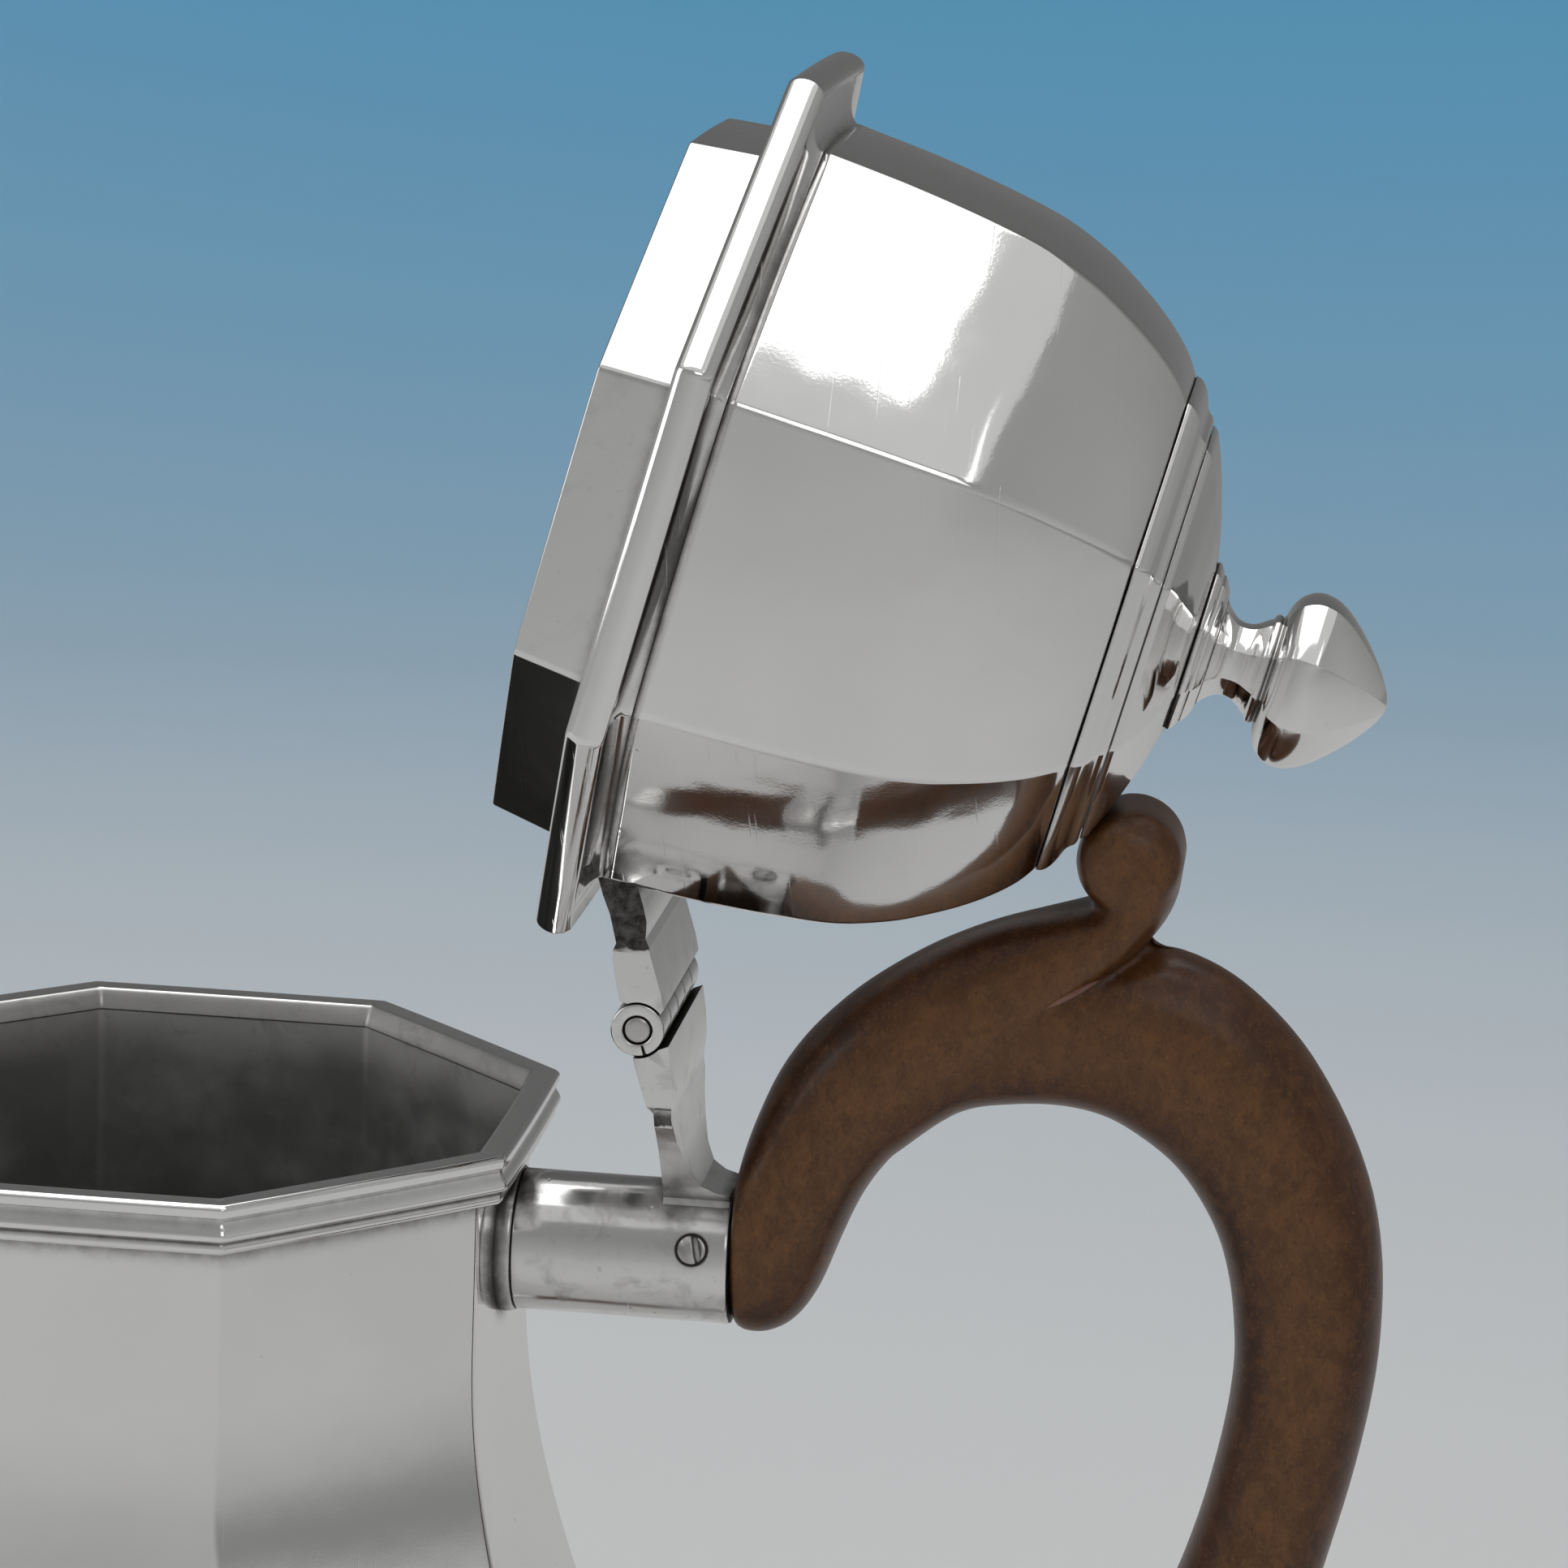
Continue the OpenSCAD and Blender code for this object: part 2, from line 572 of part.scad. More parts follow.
// Waist, thin collar, then the faceted bud that runs up to a point
finial_line = let (z = finial_z, h = finial_h, r = bud_r) smooth_line([
    [finial_base_r - 3.4, z + 2.1], [0.5 * r, z + 0.14 * h], [0.42 * r, z + 0.22 * h],
    [0.46 * r, z + 0.29 * h], [0.58 * r, z + 0.36 * h], [0.62 * r, z + 0.39 * h],
    [0.88 * r, z + 0.45 * h], [r, z + 0.55 * h], [0.93 * r, z + 0.66 * h],
    [0.71 * r, z + 0.77 * h], [0.42 * r, z + 0.89 * h], [0.16 * r, z + 0.98 * h]
], 4);
module finial() color(silver) swing_open()
    octagon_turn(concat([[0, finial_z + 2.1]], finial_line, [[0, finial_z + finial_h]]));

// The strap rises from the flange, outside the dome, to the hinge barrel
root = [dome_r * flat - hinge_x, lid_gap + flange_h - hinge_up];   // where dome and flange meet
strap_side = [
    [-1.6, leaf_t - 3.3], [-3, leaf_t - 1.4], [-6.2, leaf_t - 2.1], [-9.1, leaf_t - 3.2],
    root + [3.1, 6.1], root + [-0.3, 2.7], root + [-2.2, 1.2], root + [-2.2, -4.8],
    root + [5.4, -1.5], root + [4.7, 1.3], [-8.2, -3.9], [-5.6, -2.5], [-1.8, -1.4]
];
module lid_strap() color(dull_silver) swing_open() difference() {
    translate([hinge_x, 0, hinge_up]) leaf(strap_side, [1, 3],
        [[-1.5, -1.4], [-5, -1.8], [-5, 1.8], [-1.8, 2]]);
    flange_shape();
    octagon_turn(concat([[0, lid_gap]], dome_line, [[0, dome_top_z]]));
}

module lid_knuckles() color(dull_silver) translate([hinge_x, 0, hinge_z])
    for (i = [1, 3]) knuckle(i, hinge_pin_r + pin_clearance);

pot_body();
base_plate();
foot();
foot_edge();
rim_ring();
rim_moulding();
spout_plate();
spout();
spout_lip();
upper_socket();
upper_collar();
lower_socket();
lower_collar();
handle();
upper_handle_pin();
lower_handle_pin();
hinge_bracket();
pot_knuckles();
hinge_pin();
lid_strap();
lid_knuckles();
lid_bezel();
lid_flange();
lid_dome();
cap_moulding();
lid_cap();
finial_base();
finial();
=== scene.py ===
import json
import math

import bmesh
import bpy
from mathutils import Matrix, Vector


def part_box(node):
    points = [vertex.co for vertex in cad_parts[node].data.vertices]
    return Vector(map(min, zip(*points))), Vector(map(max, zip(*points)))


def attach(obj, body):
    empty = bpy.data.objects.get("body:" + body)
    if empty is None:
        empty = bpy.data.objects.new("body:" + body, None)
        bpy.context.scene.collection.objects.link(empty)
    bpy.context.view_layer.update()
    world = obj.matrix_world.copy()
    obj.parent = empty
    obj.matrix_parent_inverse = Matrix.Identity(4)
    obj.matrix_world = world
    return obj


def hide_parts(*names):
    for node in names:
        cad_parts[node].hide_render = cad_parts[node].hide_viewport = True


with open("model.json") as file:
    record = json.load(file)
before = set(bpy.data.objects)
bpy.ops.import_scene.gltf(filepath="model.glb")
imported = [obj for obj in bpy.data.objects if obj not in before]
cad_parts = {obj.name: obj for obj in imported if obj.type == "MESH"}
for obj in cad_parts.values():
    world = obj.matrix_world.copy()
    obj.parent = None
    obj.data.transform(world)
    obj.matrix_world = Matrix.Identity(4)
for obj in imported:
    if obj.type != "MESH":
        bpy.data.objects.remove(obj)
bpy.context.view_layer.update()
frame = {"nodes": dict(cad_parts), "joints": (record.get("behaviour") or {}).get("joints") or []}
print("frame loaded")

# Sizes below are in millimetres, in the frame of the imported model
mm = 0.001
halfSide = math.radians(22.5)  # from the middle of a flat to a corner
flatShare = math.cos(halfSide)
alongX = Matrix.Rotation(math.pi / 2, 3, "Y")
alongY = Matrix.Rotation(-math.pi / 2, 3, "X")

lidHinge = frame["joints"][0]
hingeAt = Vector(lidHinge["pos_m"]) / mm
lidOpen = math.radians(-lidHinge["range_deg"][0])
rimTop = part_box("rim_ring")[1].z / mm
barrel = {
    "length": (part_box("hinge_pin")[1].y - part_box("hinge_pin")[0].y) / mm,
    "radius": 2.8,
    "pinRadius": 1.45,
    "gap": 0.3,
    "knuckles": 5,
}


def lerp(a, b, t):
    return a + (b - a) * t


def smoothLine(points, steps=6):
    # a smooth line through the points of an outline: (radius, height), or (x, z) for the handle
    line = []
    last = len(points) - 1
    for i in range(last):
        p0, p1, p2, p3 = points[max(i - 1, 0)], points[i], points[i + 1], points[min(i + 2, last)]
        for k in range(steps):
            t = k / steps
            line.append(tuple(
                0.5 * (2 * b + (c - a) * t + (2 * a - 5 * b + 4 * c - d) * t * t
                       + (3 * b - a - 3 * c + d) * t ** 3)
                for a, b, c, d in zip(p0, p1, p2, p3)))
    line.append(tuple(points[last]))
    return line


def shell(line, wall):
    # closes an outer line with the same line moved inward by the wall, with level ends
    inner = []
    for i, (r, z) in enumerate(line):
        if i in (0, len(line) - 1):
            inner.append((r - wall / flatShare, z))
        else:
            along = (Vector(line[i + 1]) - Vector(line[i - 1])).normalized()
            inner.append((r - along.y * wall / flatShare, z + along.x * wall))
    return line + inner[::-1]


def eased(line, reach, cornerFrom=25):
    # cuts every crisp corner of a closed outline with a small round
    out = []
    count = len(line)
    for i in range(count):
        here = Vector(line[i])
        before, after = Vector(line[i - 1]), Vector(line[(i + 1) % count])
        into, away = here - before, after - here
        if here.x < 1e-6 or into.length < 1e-6 or away.length < 1e-6:
            out.append(tuple(here))
            continue
        if abs(into.angle_signed(away, 0)) < math.radians(cornerFrom):
            out.append(tuple(here))
            continue
        a = here - into.normalized() * min(reach, into.length * 0.45)
        b = here + away.normalized() * min(reach, away.length * 0.45)
        for t in (0, 0.25, 0.5, 0.75, 1):
            out.append(tuple(a * (1 - t) ** 2 + here * 2 * t * (1 - t) + b * t * t))
    return out


def reeding(r, z, reeds):
    # convex reeds one under the other: each is (height, bulge)
    line = []
    for height, bulge in reeds:
        for a in range(8, 180, 20):
            turn = math.radians(a)
            line.append((r + bulge * math.sin(turn), z - height * (1 - math.cos(turn)) / 2))
        z -= height
    return line


def spunLine(line, steps, endless, near=1e-4):
    # spins an outline round Z; an endless one joins its last point to its first
    bm = bmesh.new()
    verts = [bm.verts.new((r, 0, z)) for r, z in line]
    pairs = list(zip(verts, verts[1:]))
    if endless:
        pairs.append((verts[-1], verts[0]))
    edges = [bm.edges.new(pair) for pair in pairs]
    bmesh.ops.spin(bm, geom=verts + edges, cent=(0, 0, 0), axis=(0, 0, 1), angle=math.tau,
                   steps=steps, use_merge=True)
    bmesh.ops.remove_doubles(bm, verts=bm.verts, dist=near)
    return bm


def offAxis(line):
    return line[0][0] > 1e-6 or line[-1][0] > 1e-6


def roundTurn(line, steps=64):
    # turns an outline round Z into a round piece
    bm = spunLine(line, steps, offAxis(line))
    bmesh.ops.recalc_face_normals(bm, faces=bm.faces)
    return bm


def onFlat(degrees, shares, radius, bulge):
    # where a point of a ring lands on the nearest of eight flats, and whether that is a corner
    perFlat = 2 * (len(shares) - 1)
    flatNo = round(degrees / 45)
    step = round((degrees - flatNo * 45) / (45 / perFlat))
    share = shares[abs(step)]
    out = radius * flatShare + bulge * (1 - share * share)
    along = radius * math.sin(halfSide) * math.copysign(share, step)
    facing = math.radians(45 * flatNo)
    x = out * math.cos(facing) - along * math.sin(facing)
    y = out * math.sin(facing) + along * math.cos(facing)
    return x, y, share == 1


def octagonTurn(line, crown=0.25, arris=0.35, cornerShare=0.035):
    # turns an outline round Z, draws the ring out to eight flats and softens the arrises
    shares = (0, 0.3, 0.58, 0.82, 1 - cornerShare, 1)
    bm = spunLine(line, 16 * (len(shares) - 1), offAxis(line))
    corners = set()
    for v in bm.verts:
        r = math.hypot(v.co.x, v.co.y)
        if r < 1e-3:
            continue
        turn = math.degrees(math.atan2(v.co.y, v.co.x))
        v.co.x, v.co.y, isCorner = onFlat(turn, shares, r, crown * r / 40)
        if isCorner:
            corners.add(v)
    bmesh.ops.recalc_face_normals(bm, faces=bm.faces)
    arrises = [e for e in bm.edges if e.verts[0] in corners and e.verts[1] in corners]
    bmesh.ops.bevel(bm, geom=arrises, offset=arris, offset_type="OFFSET", affect="EDGES",
                    segments=3, profile=0.5, clamp_overlap=True, material=-1)
    return bm


def place(bm, turn, at):
    # turns a piece about the origin, then moves it
    bmesh.ops.transform(bm, matrix=Matrix.Translation(at) @ turn.to_4x4(), verts=bm.verts)
    return bm


def swingOpen(bm):
    # a lid piece is drawn closed with z = 0 at the rim, then turned back about the hinge
    bmesh.ops.translate(bm, vec=(0, 0, rimTop), verts=bm.verts)
    bmesh.ops.rotate(bm, cent=hingeAt, matrix=Matrix.Rotation(lidOpen, 3, "Y"), verts=bm.verts)
    return bm


def ringOf(bm, count, shape):
    # a closed ring whose points come from shape(turn)
    made = bmesh.ops.create_circle(bm, cap_ends=False, segments=count, radius=1)
    for v in made["verts"]:
        v.co = shape(math.atan2(v.co.y, v.co.x))
    return made["verts"]


def ringEdges(ring):
    inside = set(ring)
    touching = {e for v in ring for e in v.link_edges}
    return [e for e in touching if e.verts[0] in inside and e.verts[1] in inside]


def loft(bm, rings, closeEnds=True, closeLoop=False):
    # skins the rings in their order
    edges = [ringEdges(ring) for ring in rings]
    pairs = list(zip(edges, edges[1:]))
    if closeLoop:
        pairs.append((edges[-1], edges[0]))
    for a, b in pairs:
        bmesh.ops.bridge_loops(bm, edges=a + b)
    if closeEnds and not closeLoop:
        for end in (edges[0], edges[-1]):
            bmesh.ops.holes_fill(bm, edges=end, sides=0)
    return bm


def asObject(name, bm):
    mesh = bpy.data.meshes.new(name)
    bm.to_mesh(mesh)
    bm.free()
    thing = bpy.data.objects.new(name, mesh)
    bpy.context.scene.collection.objects.link(thing)
    return thing


def shapedBy(thing):
    # the mesh that an object's modifiers make
    result = bmesh.new()
    shaped = thing.evaluated_get(bpy.context.evaluated_depsgraph_get())
    result.from_mesh(shaped.to_mesh())
    return result


def discard(thing):
    mesh = thing.data
    bpy.data.objects.remove(thing)
    bpy.data.meshes.remove(mesh)


def joined(bms):
    # several pieces in one mesh
    mesh = bpy.data.meshes.new("joined")
    whole = bmesh.new()
    for bm in bms:
        bm.to_mesh(mesh)
        whole.from_mesh(mesh)
        bm.free()
    bpy.data.meshes.remove(mesh)
    return whole


def cutWith(bm, cutter, operation="DIFFERENCE"):
    # takes the cutter's volume out of the piece, or keeps only what they share
    stock, tool = asObject("stock", bm), asObject("cutter", cutter)
    cut = stock.modifiers.new("cut", "BOOLEAN")
    cut.operation = operation
    cut.solver = "EXACT"
    cut.object = tool
    result = shapedBy(stock)
    discard(stock)
    discard(tool)
    return result


def box(size, at=(0, 0, 0), turn=Matrix.Identity(3)):
    bm = bmesh.new()
    bmesh.ops.create_cube(bm, size=1)
    bmesh.ops.scale(bm, vec=size, verts=bm.verts)
    return place(bm, turn, at)


def prism(outline, thickness, place3d):
    # an outline drawn out to both sides; place3d puts a point (u, v, w) in the frame
    bm = bmesh.new()
    face = bm.faces.new([bm.verts.new((u, v, -thickness / 2)) for u, v in outline])
    made = bmesh.ops.extrude_face_region(bm, geom=[face])
    top = [v for v in made["geom"] if isinstance(v, bmesh.types.BMVert)]
    bmesh.ops.translate(bm, vec=(0, 0, thickness), verts=top)
    for v in bm.verts:
        v.co = place3d(*v.co)
    bmesh.ops.recalc_face_normals(bm, faces=bm.faces)
    return bm


def bevelSharp(bm, sharpFrom, width):
    # softens every edge whose two faces turn by more than sharpFrom degrees
    limit = math.radians(sharpFrom)
    sharp = [e for e in bm.edges if len(e.link_faces) == 2 and e.calc_face_angle(0) > limit]
    bmesh.ops.bevel(bm, geom=sharp, offset=width, offset_type="OFFSET", affect="EDGES",
                    segments=2, profile=0.5, clamp_overlap=True, material=-1)


def softenCut(bm, sharpFrom, width):
    # joins up the flat faces that a cut leaves, then softens the edges
    bmesh.ops.remove_doubles(bm, verts=bm.verts, dist=0.004)
    bmesh.ops.dissolve_limit(bm, angle_limit=math.radians(1), verts=bm.verts, edges=bm.edges)
    bevelSharp(bm, sharpFrom, width)
    bmesh.ops.triangulate(bm, faces=[f for f in bm.faces if len(f.verts) > 4])
    return bm


def finishPiece(name, bm, body, looks, nodes=(), even=True):
    bmesh.ops.scale(bm, vec=(mm,) * 3, verts=bm.verts)
    piece = asObject(name, bm)
    piece.data.shade_smooth()
    for look in looks:
        piece.data.materials.append(look)
    if even:
        normals = piece.modifiers.new("evenShading", "WEIGHTED_NORMAL")
        normals.weight = 90
        normals.keep_sharp = True
    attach(piece, body)
    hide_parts(*nodes)
    return piece


def dress(node, look):
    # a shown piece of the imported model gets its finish
    materials = frame["nodes"][node].data.materials
    materials.clear()
    materials.append(look)


def newGroup(name, inputs, outputs):
    group = bpy.data.node_groups.new(name, "ShaderNodeTree")
    for label, kind, value in inputs:
        socket = group.interface.new_socket(name=label, in_out="INPUT", socket_type=kind)
        if value is not None:
            socket.default_value = value
    for label, kind in outputs:
        group.interface.new_socket(name=label, in_out="OUTPUT", socket_type=kind)
    return group, group.nodes.new("NodeGroupInput"), group.nodes.new("NodeGroupOutput")


def addNode(tree, kind, **values):
    node = tree.nodes.new(kind)
    for key, value in values.items():
        if key.startswith("in"):
            slotNo = key[2:]
            node.inputs[int(slotNo) if slotNo.isdigit() else slotNo].default_value = value
        else:
            setattr(node, key, value)
    return node


def mathNode(tree, operation, a, b=0.0, c=0.0, clamp=False):
    node = tree.nodes.new("ShaderNodeMath")
    node.operation = operation
    node.use_clamp = clamp
    for i, value in enumerate((a, b, c)):
        if isinstance(value, bpy.types.NodeSocket):
            tree.links.new(value, node.inputs[i])
        else:
            node.inputs[i].default_value = value
    return node.outputs[0]


def spread(tree, value, low, high, toLow=0.0, toHigh=1.0):
    node = tree.nodes.new("ShaderNodeMapRange")
    node.interpolation_type = "SMOOTHSTEP"
    tree.links.new(value, node.inputs["Value"])
    for i, number in enumerate((low, high, toLow, toHigh)):
        node.inputs[i + 1].default_value = number
    return node.outputs["Result"]


def noiseOf(tree, place3d, scale, detail=3.0, roughness=0.5, distortion=0.0):
    node = addNode(tree, "ShaderNodeTexNoise", inScale=scale, inDetail=detail, inRoughness=roughness,
                   inDistortion=distortion)
    tree.links.new(place3d, node.inputs["Vector"])
    return node.outputs["Fac"]


def stretched(tree, place3d, scale, turn=(0, 0, 0)):
    node = addNode(tree, "ShaderNodeMapping", inScale=scale, inRotation=turn)
    tree.links.new(place3d, node.inputs["Vector"])
    return node.outputs["Vector"]


def blendColours(tree, share, a, b):
    node = tree.nodes.new("ShaderNodeMix")
    node.data_type = "RGBA"
    if isinstance(share, bpy.types.NodeSocket):
        tree.links.new(share, node.inputs[0])
    else:
        node.inputs[0].default_value = share
    for i, value in ((6, a), (7, b)):
        if isinstance(value, bpy.types.NodeSocket):
            tree.links.new(value, node.inputs[i])
        else:
            node.inputs[i].default_value = (*value, 1)
    return node.outputs[2]


def buildHandRaised():
    # slow waves left by the planishing hammer, and a very fine grain from polishing
    group, given, result = newGroup("handRaised",
        [("Place", "NodeSocketVector", None), ("Wave", "NodeSocketFloat", 0.5),
         ("Ripple", "NodeSocketFloat", 0.3)],
        [("Height", "NodeSocketFloat")])
    wave = noiseOf(group, given.outputs["Place"], 26, 1.0, 0.4)
    ripple = noiseOf(group, given.outputs["Place"], 95, 2.0, 0.45)
    grain = noiseOf(group, given.outputs["Place"], 2600, 2.0, 0.6)
    height = mathNode(group, "MULTIPLY_ADD", wave, given.outputs["Wave"],
                      mathNode(group, "MULTIPLY", ripple, given.outputs["Ripple"]))
    height = mathNode(group, "MULTIPLY_ADD", grain, 0.003, height)
    group.links.new(height, result.inputs["Height"])
    return group


def buildFineScratches():
    # short hairline scratches in three directions, and a cloudy haze
    group, given, result = newGroup("fineScratches",
        [("Place", "NodeSocketVector", None), ("Amount", "NodeSocketFloat", 0.5)],
        [("Scratch", "NodeSocketFloat"), ("Haze", "NodeSocketFloat")])
    total = None
    for turn, size in (((0.3, 0.9, 0.2), 1.0), ((1.1, 0.2, 0.8), 1.3), ((0.6, 1.4, 2.1), 0.8)):
        lines = noiseOf(group, stretched(group, given.outputs["Place"],
                        (2400 * size, 60 * size, 60 * size), turn), 1, 1.0, 0.5)
        patches = noiseOf(group, stretched(group, given.outputs["Place"], (70, 55, 60), turn), 1, 1.0)
        mark = mathNode(group, "MULTIPLY", spread(group, lines, 0.70, 0.76),
                        spread(group, patches, 0.48, 0.62))
        total = mark if total is None else mathNode(group, "MAXIMUM", total, mark)
    group.links.new(mathNode(group, "MULTIPLY", total, given.outputs["Amount"]), result.inputs["Scratch"])
    haze = spread(group, noiseOf(group, given.outputs["Place"], 42, 4.0, 0.6), 0.4, 0.72)
    group.links.new(haze, result.inputs["Haze"])
    return group


def buildSmallPits():
    # scattered pits in a few patches
    group, given, result = newGroup("smallPits",
        [("Place", "NodeSocketVector", None), ("Share", "NodeSocketFloat", 0.5)],
        [("Pit", "NodeSocketFloat")])
    cells = addNode(group, "ShaderNodeTexVoronoi", inScale=430)
    group.links.new(given.outputs["Place"], cells.inputs["Vector"])
    dot = spread(group, cells.outputs["Distance"], 0.05, 0.10, 1.0, 0.0)
    patches = spread(group, noiseOf(group, given.outputs["Place"], 130, 2.0), 0.63, 0.70)
    group.links.new(mathNode(group, "MULTIPLY", mathNode(group, "MULTIPLY", dot, patches),
                             given.outputs["Share"]), result.inputs["Pit"])
    return group


def buildStains():
    # soft cloudy stains and tide marks
    group, given, result = newGroup("stains",
        [("Place", "NodeSocketVector", None), ("Amount", "NodeSocketFloat", 0.5)],
        [("Stain", "NodeSocketFloat")])
    clouds = noiseOf(group, given.outputs["Place"], 210, 4.0, 0.62, 0.6)
    spots = noiseOf(group, given.outputs["Place"], 700, 3.0, 0.7)
    stain = mathNode(group, "MAXIMUM", spread(group, clouds, 0.52, 0.72),
                     mathNode(group, "MULTIPLY", spread(group, spots, 0.62, 0.72), 0.7))
    group.links.new(mathNode(group, "MULTIPLY", stain, given.outputs["Amount"]), result.inputs["Stain"])
    return group


handRaised = buildHandRaised()
fineScratches = buildFineScratches()
smallPits = buildSmallPits()
stains = buildStains()


def useGroup(tree, group, place3d, **values):
    node = tree.nodes.new("ShaderNodeGroup")
    node.node_tree = group
    tree.links.new(place3d, node.inputs["Place"])
    for label, value in values.items():
        node.inputs[label].default_value = value
    return node


def softPatch(tree, place3d, at, size, turn=0.0, inner=0.75, ragged=0.0):
    # an oval seen from the side: at and size hold x and z in mm
    oval = tree.nodes.new("ShaderNodeMapping")
    oval.vector_type = "TEXTURE"
    oval.inputs["Location"].default_value = (at[0] * mm, 0, at[1] * mm)
    oval.inputs["Rotation"].default_value = (0, math.radians(turn), 0)
    oval.inputs["Scale"].default_value = (size[0] * mm, 1, size[1] * mm)
    tree.links.new(place3d, oval.inputs["Vector"])
    reach = tree.nodes.new("ShaderNodeVectorMath")
    reach.operation = "LENGTH"
    tree.links.new(oval.outputs[0], reach.inputs[0])
    away = reach.outputs["Value"]
    if ragged:
        away = mathNode(tree, "MULTIPLY_ADD", noiseOf(tree, place3d, 420, 4.0, 0.65), ragged, away)
    return spread(tree, away, inner, 1.0, 1.0, 0.0)


def neckTarnish(tree, place3d, neck):
    # old tarnish on the side faces of a leaf, between two heights
    heights = tree.nodes.new("ShaderNodeSeparateXYZ")
    tree.links.new(place3d, heights.inputs[0])
    ragged = mathNode(tree, "MULTIPLY_ADD", noiseOf(tree, place3d, 700, 3.0, 0.65), 1.2 * mm,
                      heights.outputs["Z"])
    low, high = (h * mm + 0.6 * mm for h in neck)
    band = mathNode(tree, "MULTIPLY", spread(tree, ragged, low - 0.15 * mm, low + 0.15 * mm),
                    spread(tree, ragged, high - 0.8 * mm, high + 0.8 * mm, 1.0, 0.0))
    facing = tree.nodes.new("ShaderNodeSeparateXYZ")
    tree.links.new(tree.nodes.new("ShaderNodeNewGeometry").outputs["Normal"], facing.inputs[0])
    sideways = spread(tree, mathNode(tree, "ABSOLUTE", facing.outputs["Y"]), 0.35, 0.7)
    mottled = mathNode(tree, "MULTIPLY_ADD", noiseOf(tree, place3d, 900, 4.0, 0.7), 0.5, 0.68)
    return mathNode(tree, "MULTIPLY", mathNode(tree, "MULTIPLY", band, sideways), mottled)


def silverLook(name, tone, rough, wave=0.5, ripple=0.2, waveDepth=1.0, scratch=0.5, pit=0.5,
               stain=0.0, tarnish=0.8, creviceReach=2.2, dark=(0.085, 0.078, 0.07), neck=None,
               patches=()):
    look = bpy.data.materials.new(name)
    look.use_nodes = True
    tree = look.node_tree
    tree.nodes.clear()
    out = tree.nodes.new("ShaderNodeOutputMaterial")
    silver = tree.nodes.new("ShaderNodeBsdfPrincipled")
    tree.links.new(silver.outputs[0], out.inputs["Surface"])
    silver.inputs["Metallic"].default_value = 1.0
    place3d = tree.nodes.new("ShaderNodeTexCoord").outputs["Object"]
    raised = useGroup(tree, handRaised, place3d, Wave=wave, Ripple=ripple)
    fine = useGroup(tree, fineScratches, place3d, Amount=scratch)
    pits = useGroup(tree, smallPits, place3d, Share=pit)
    marks = useGroup(tree, stains, place3d, Amount=stain)
    # tarnish gathers where faces meet
    crevice = addNode(tree, "ShaderNodeAmbientOcclusion", samples=6, inDistance=creviceReach * mm)
    edgeNoise = noiseOf(tree, place3d, 520, 3.0, 0.65)
    closed = spread(tree, mathNode(tree, "MULTIPLY_ADD", edgeNoise, 0.25, crevice.outputs["AO"]),
                    0.68, 1.06, 1.0, 0.0)
    tarnished = mathNode(tree, "MULTIPLY", closed, tarnish)
    dull = mathNode(tree, "MAXIMUM", tarnished, marks.outputs["Stain"], clamp=True)
    dull = mathNode(tree, "MAXIMUM", dull, mathNode(tree, "MULTIPLY", pits.outputs["Pit"], 0.85), clamp=True)
    if neck:
        dull = mathNode(tree, "MAXIMUM", dull, neckTarnish(tree, place3d, neck), clamp=True)
    for at, size, strength in patches:
        soiled = softPatch(tree, place3d, at, size, inner=0.3, ragged=0.9)
        dull = mathNode(tree, "MAXIMUM", dull, mathNode(tree, "MULTIPLY", soiled, strength), clamp=True)
    cloud = noiseOf(tree, place3d, 60, 3.0, 0.5)
    clean = blendColours(tree, spread(tree, cloud, 0.3, 0.7), tone, tuple(c * 0.965 for c in tone))
    tree.links.new(blendColours(tree, dull, clean, dark), silver.inputs["Base Color"])
    roughness = mathNode(tree, "MULTIPLY_ADD", fine.outputs["Haze"], rough * 0.7, rough)
    roughness = mathNode(tree, "MULTIPLY_ADD", fine.outputs["Scratch"], 0.16, roughness)
    roughness = mathNode(tree, "MULTIPLY_ADD", dull, 0.34, roughness, clamp=True)
    tree.links.new(roughness, silver.inputs["Roughness"])
    waves = addNode(tree, "ShaderNodeBump", inStrength=1.0, inDistance=waveDepth * mm)
    tree.links.new(raised.outputs["Height"], waves.inputs["Height"])
    marksBump = addNode(tree, "ShaderNodeBump", inStrength=0.5, inDistance=0.02 * mm)
    lines = mathNode(tree, "MULTIPLY_ADD", pits.outputs["Pit"], 3.0, fine.outputs["Scratch"])
    tree.links.new(mathNode(tree, "MULTIPLY", lines, -1.0), marksBump.inputs["Height"])
    tree.links.new(waves.outputs["Normal"], marksBump.inputs["Normal"])
    tree.links.new(marksBump.outputs["Normal"], silver.inputs["Normal"])
    return look


silverTone = (0.90, 0.895, 0.885)
leafTone = (0.84, 0.835, 0.825)
leafWear = {"wave": 0.2, "ripple": 0.6, "waveDepth": 0.25, "tarnish": 0.95}
leafSoil = {"stain": 0.2, "creviceReach": 1.8, "dark": (0.045, 0.04, 0.036)}

lidSilver = silverLook("polishedSilver", silverTone, 0.055, wave=0.5, ripple=0.10, waveDepth=0.9)
bodySilver = silverLook("bodySilver", silverTone, 0.06, wave=0.4, ripple=0.08, waveDepth=0.8)
turnedSilver = silverLook("mouldedSilver", silverTone, 0.07, wave=0.1, ripple=0.15, waveDepth=0.35,
                          tarnish=0.9, creviceReach=1.4)
bezelSilver = silverLook("bezelSilver", (0.86, 0.855, 0.845), 0.09, wave=0.4, ripple=0.2,
                         waveDepth=0.5, pit=1.0, stain=0.12)
hingeSilver = silverLook("hingeSilver", leafTone, 0.13, stain=0.12, creviceReach=1.6, **leafWear)
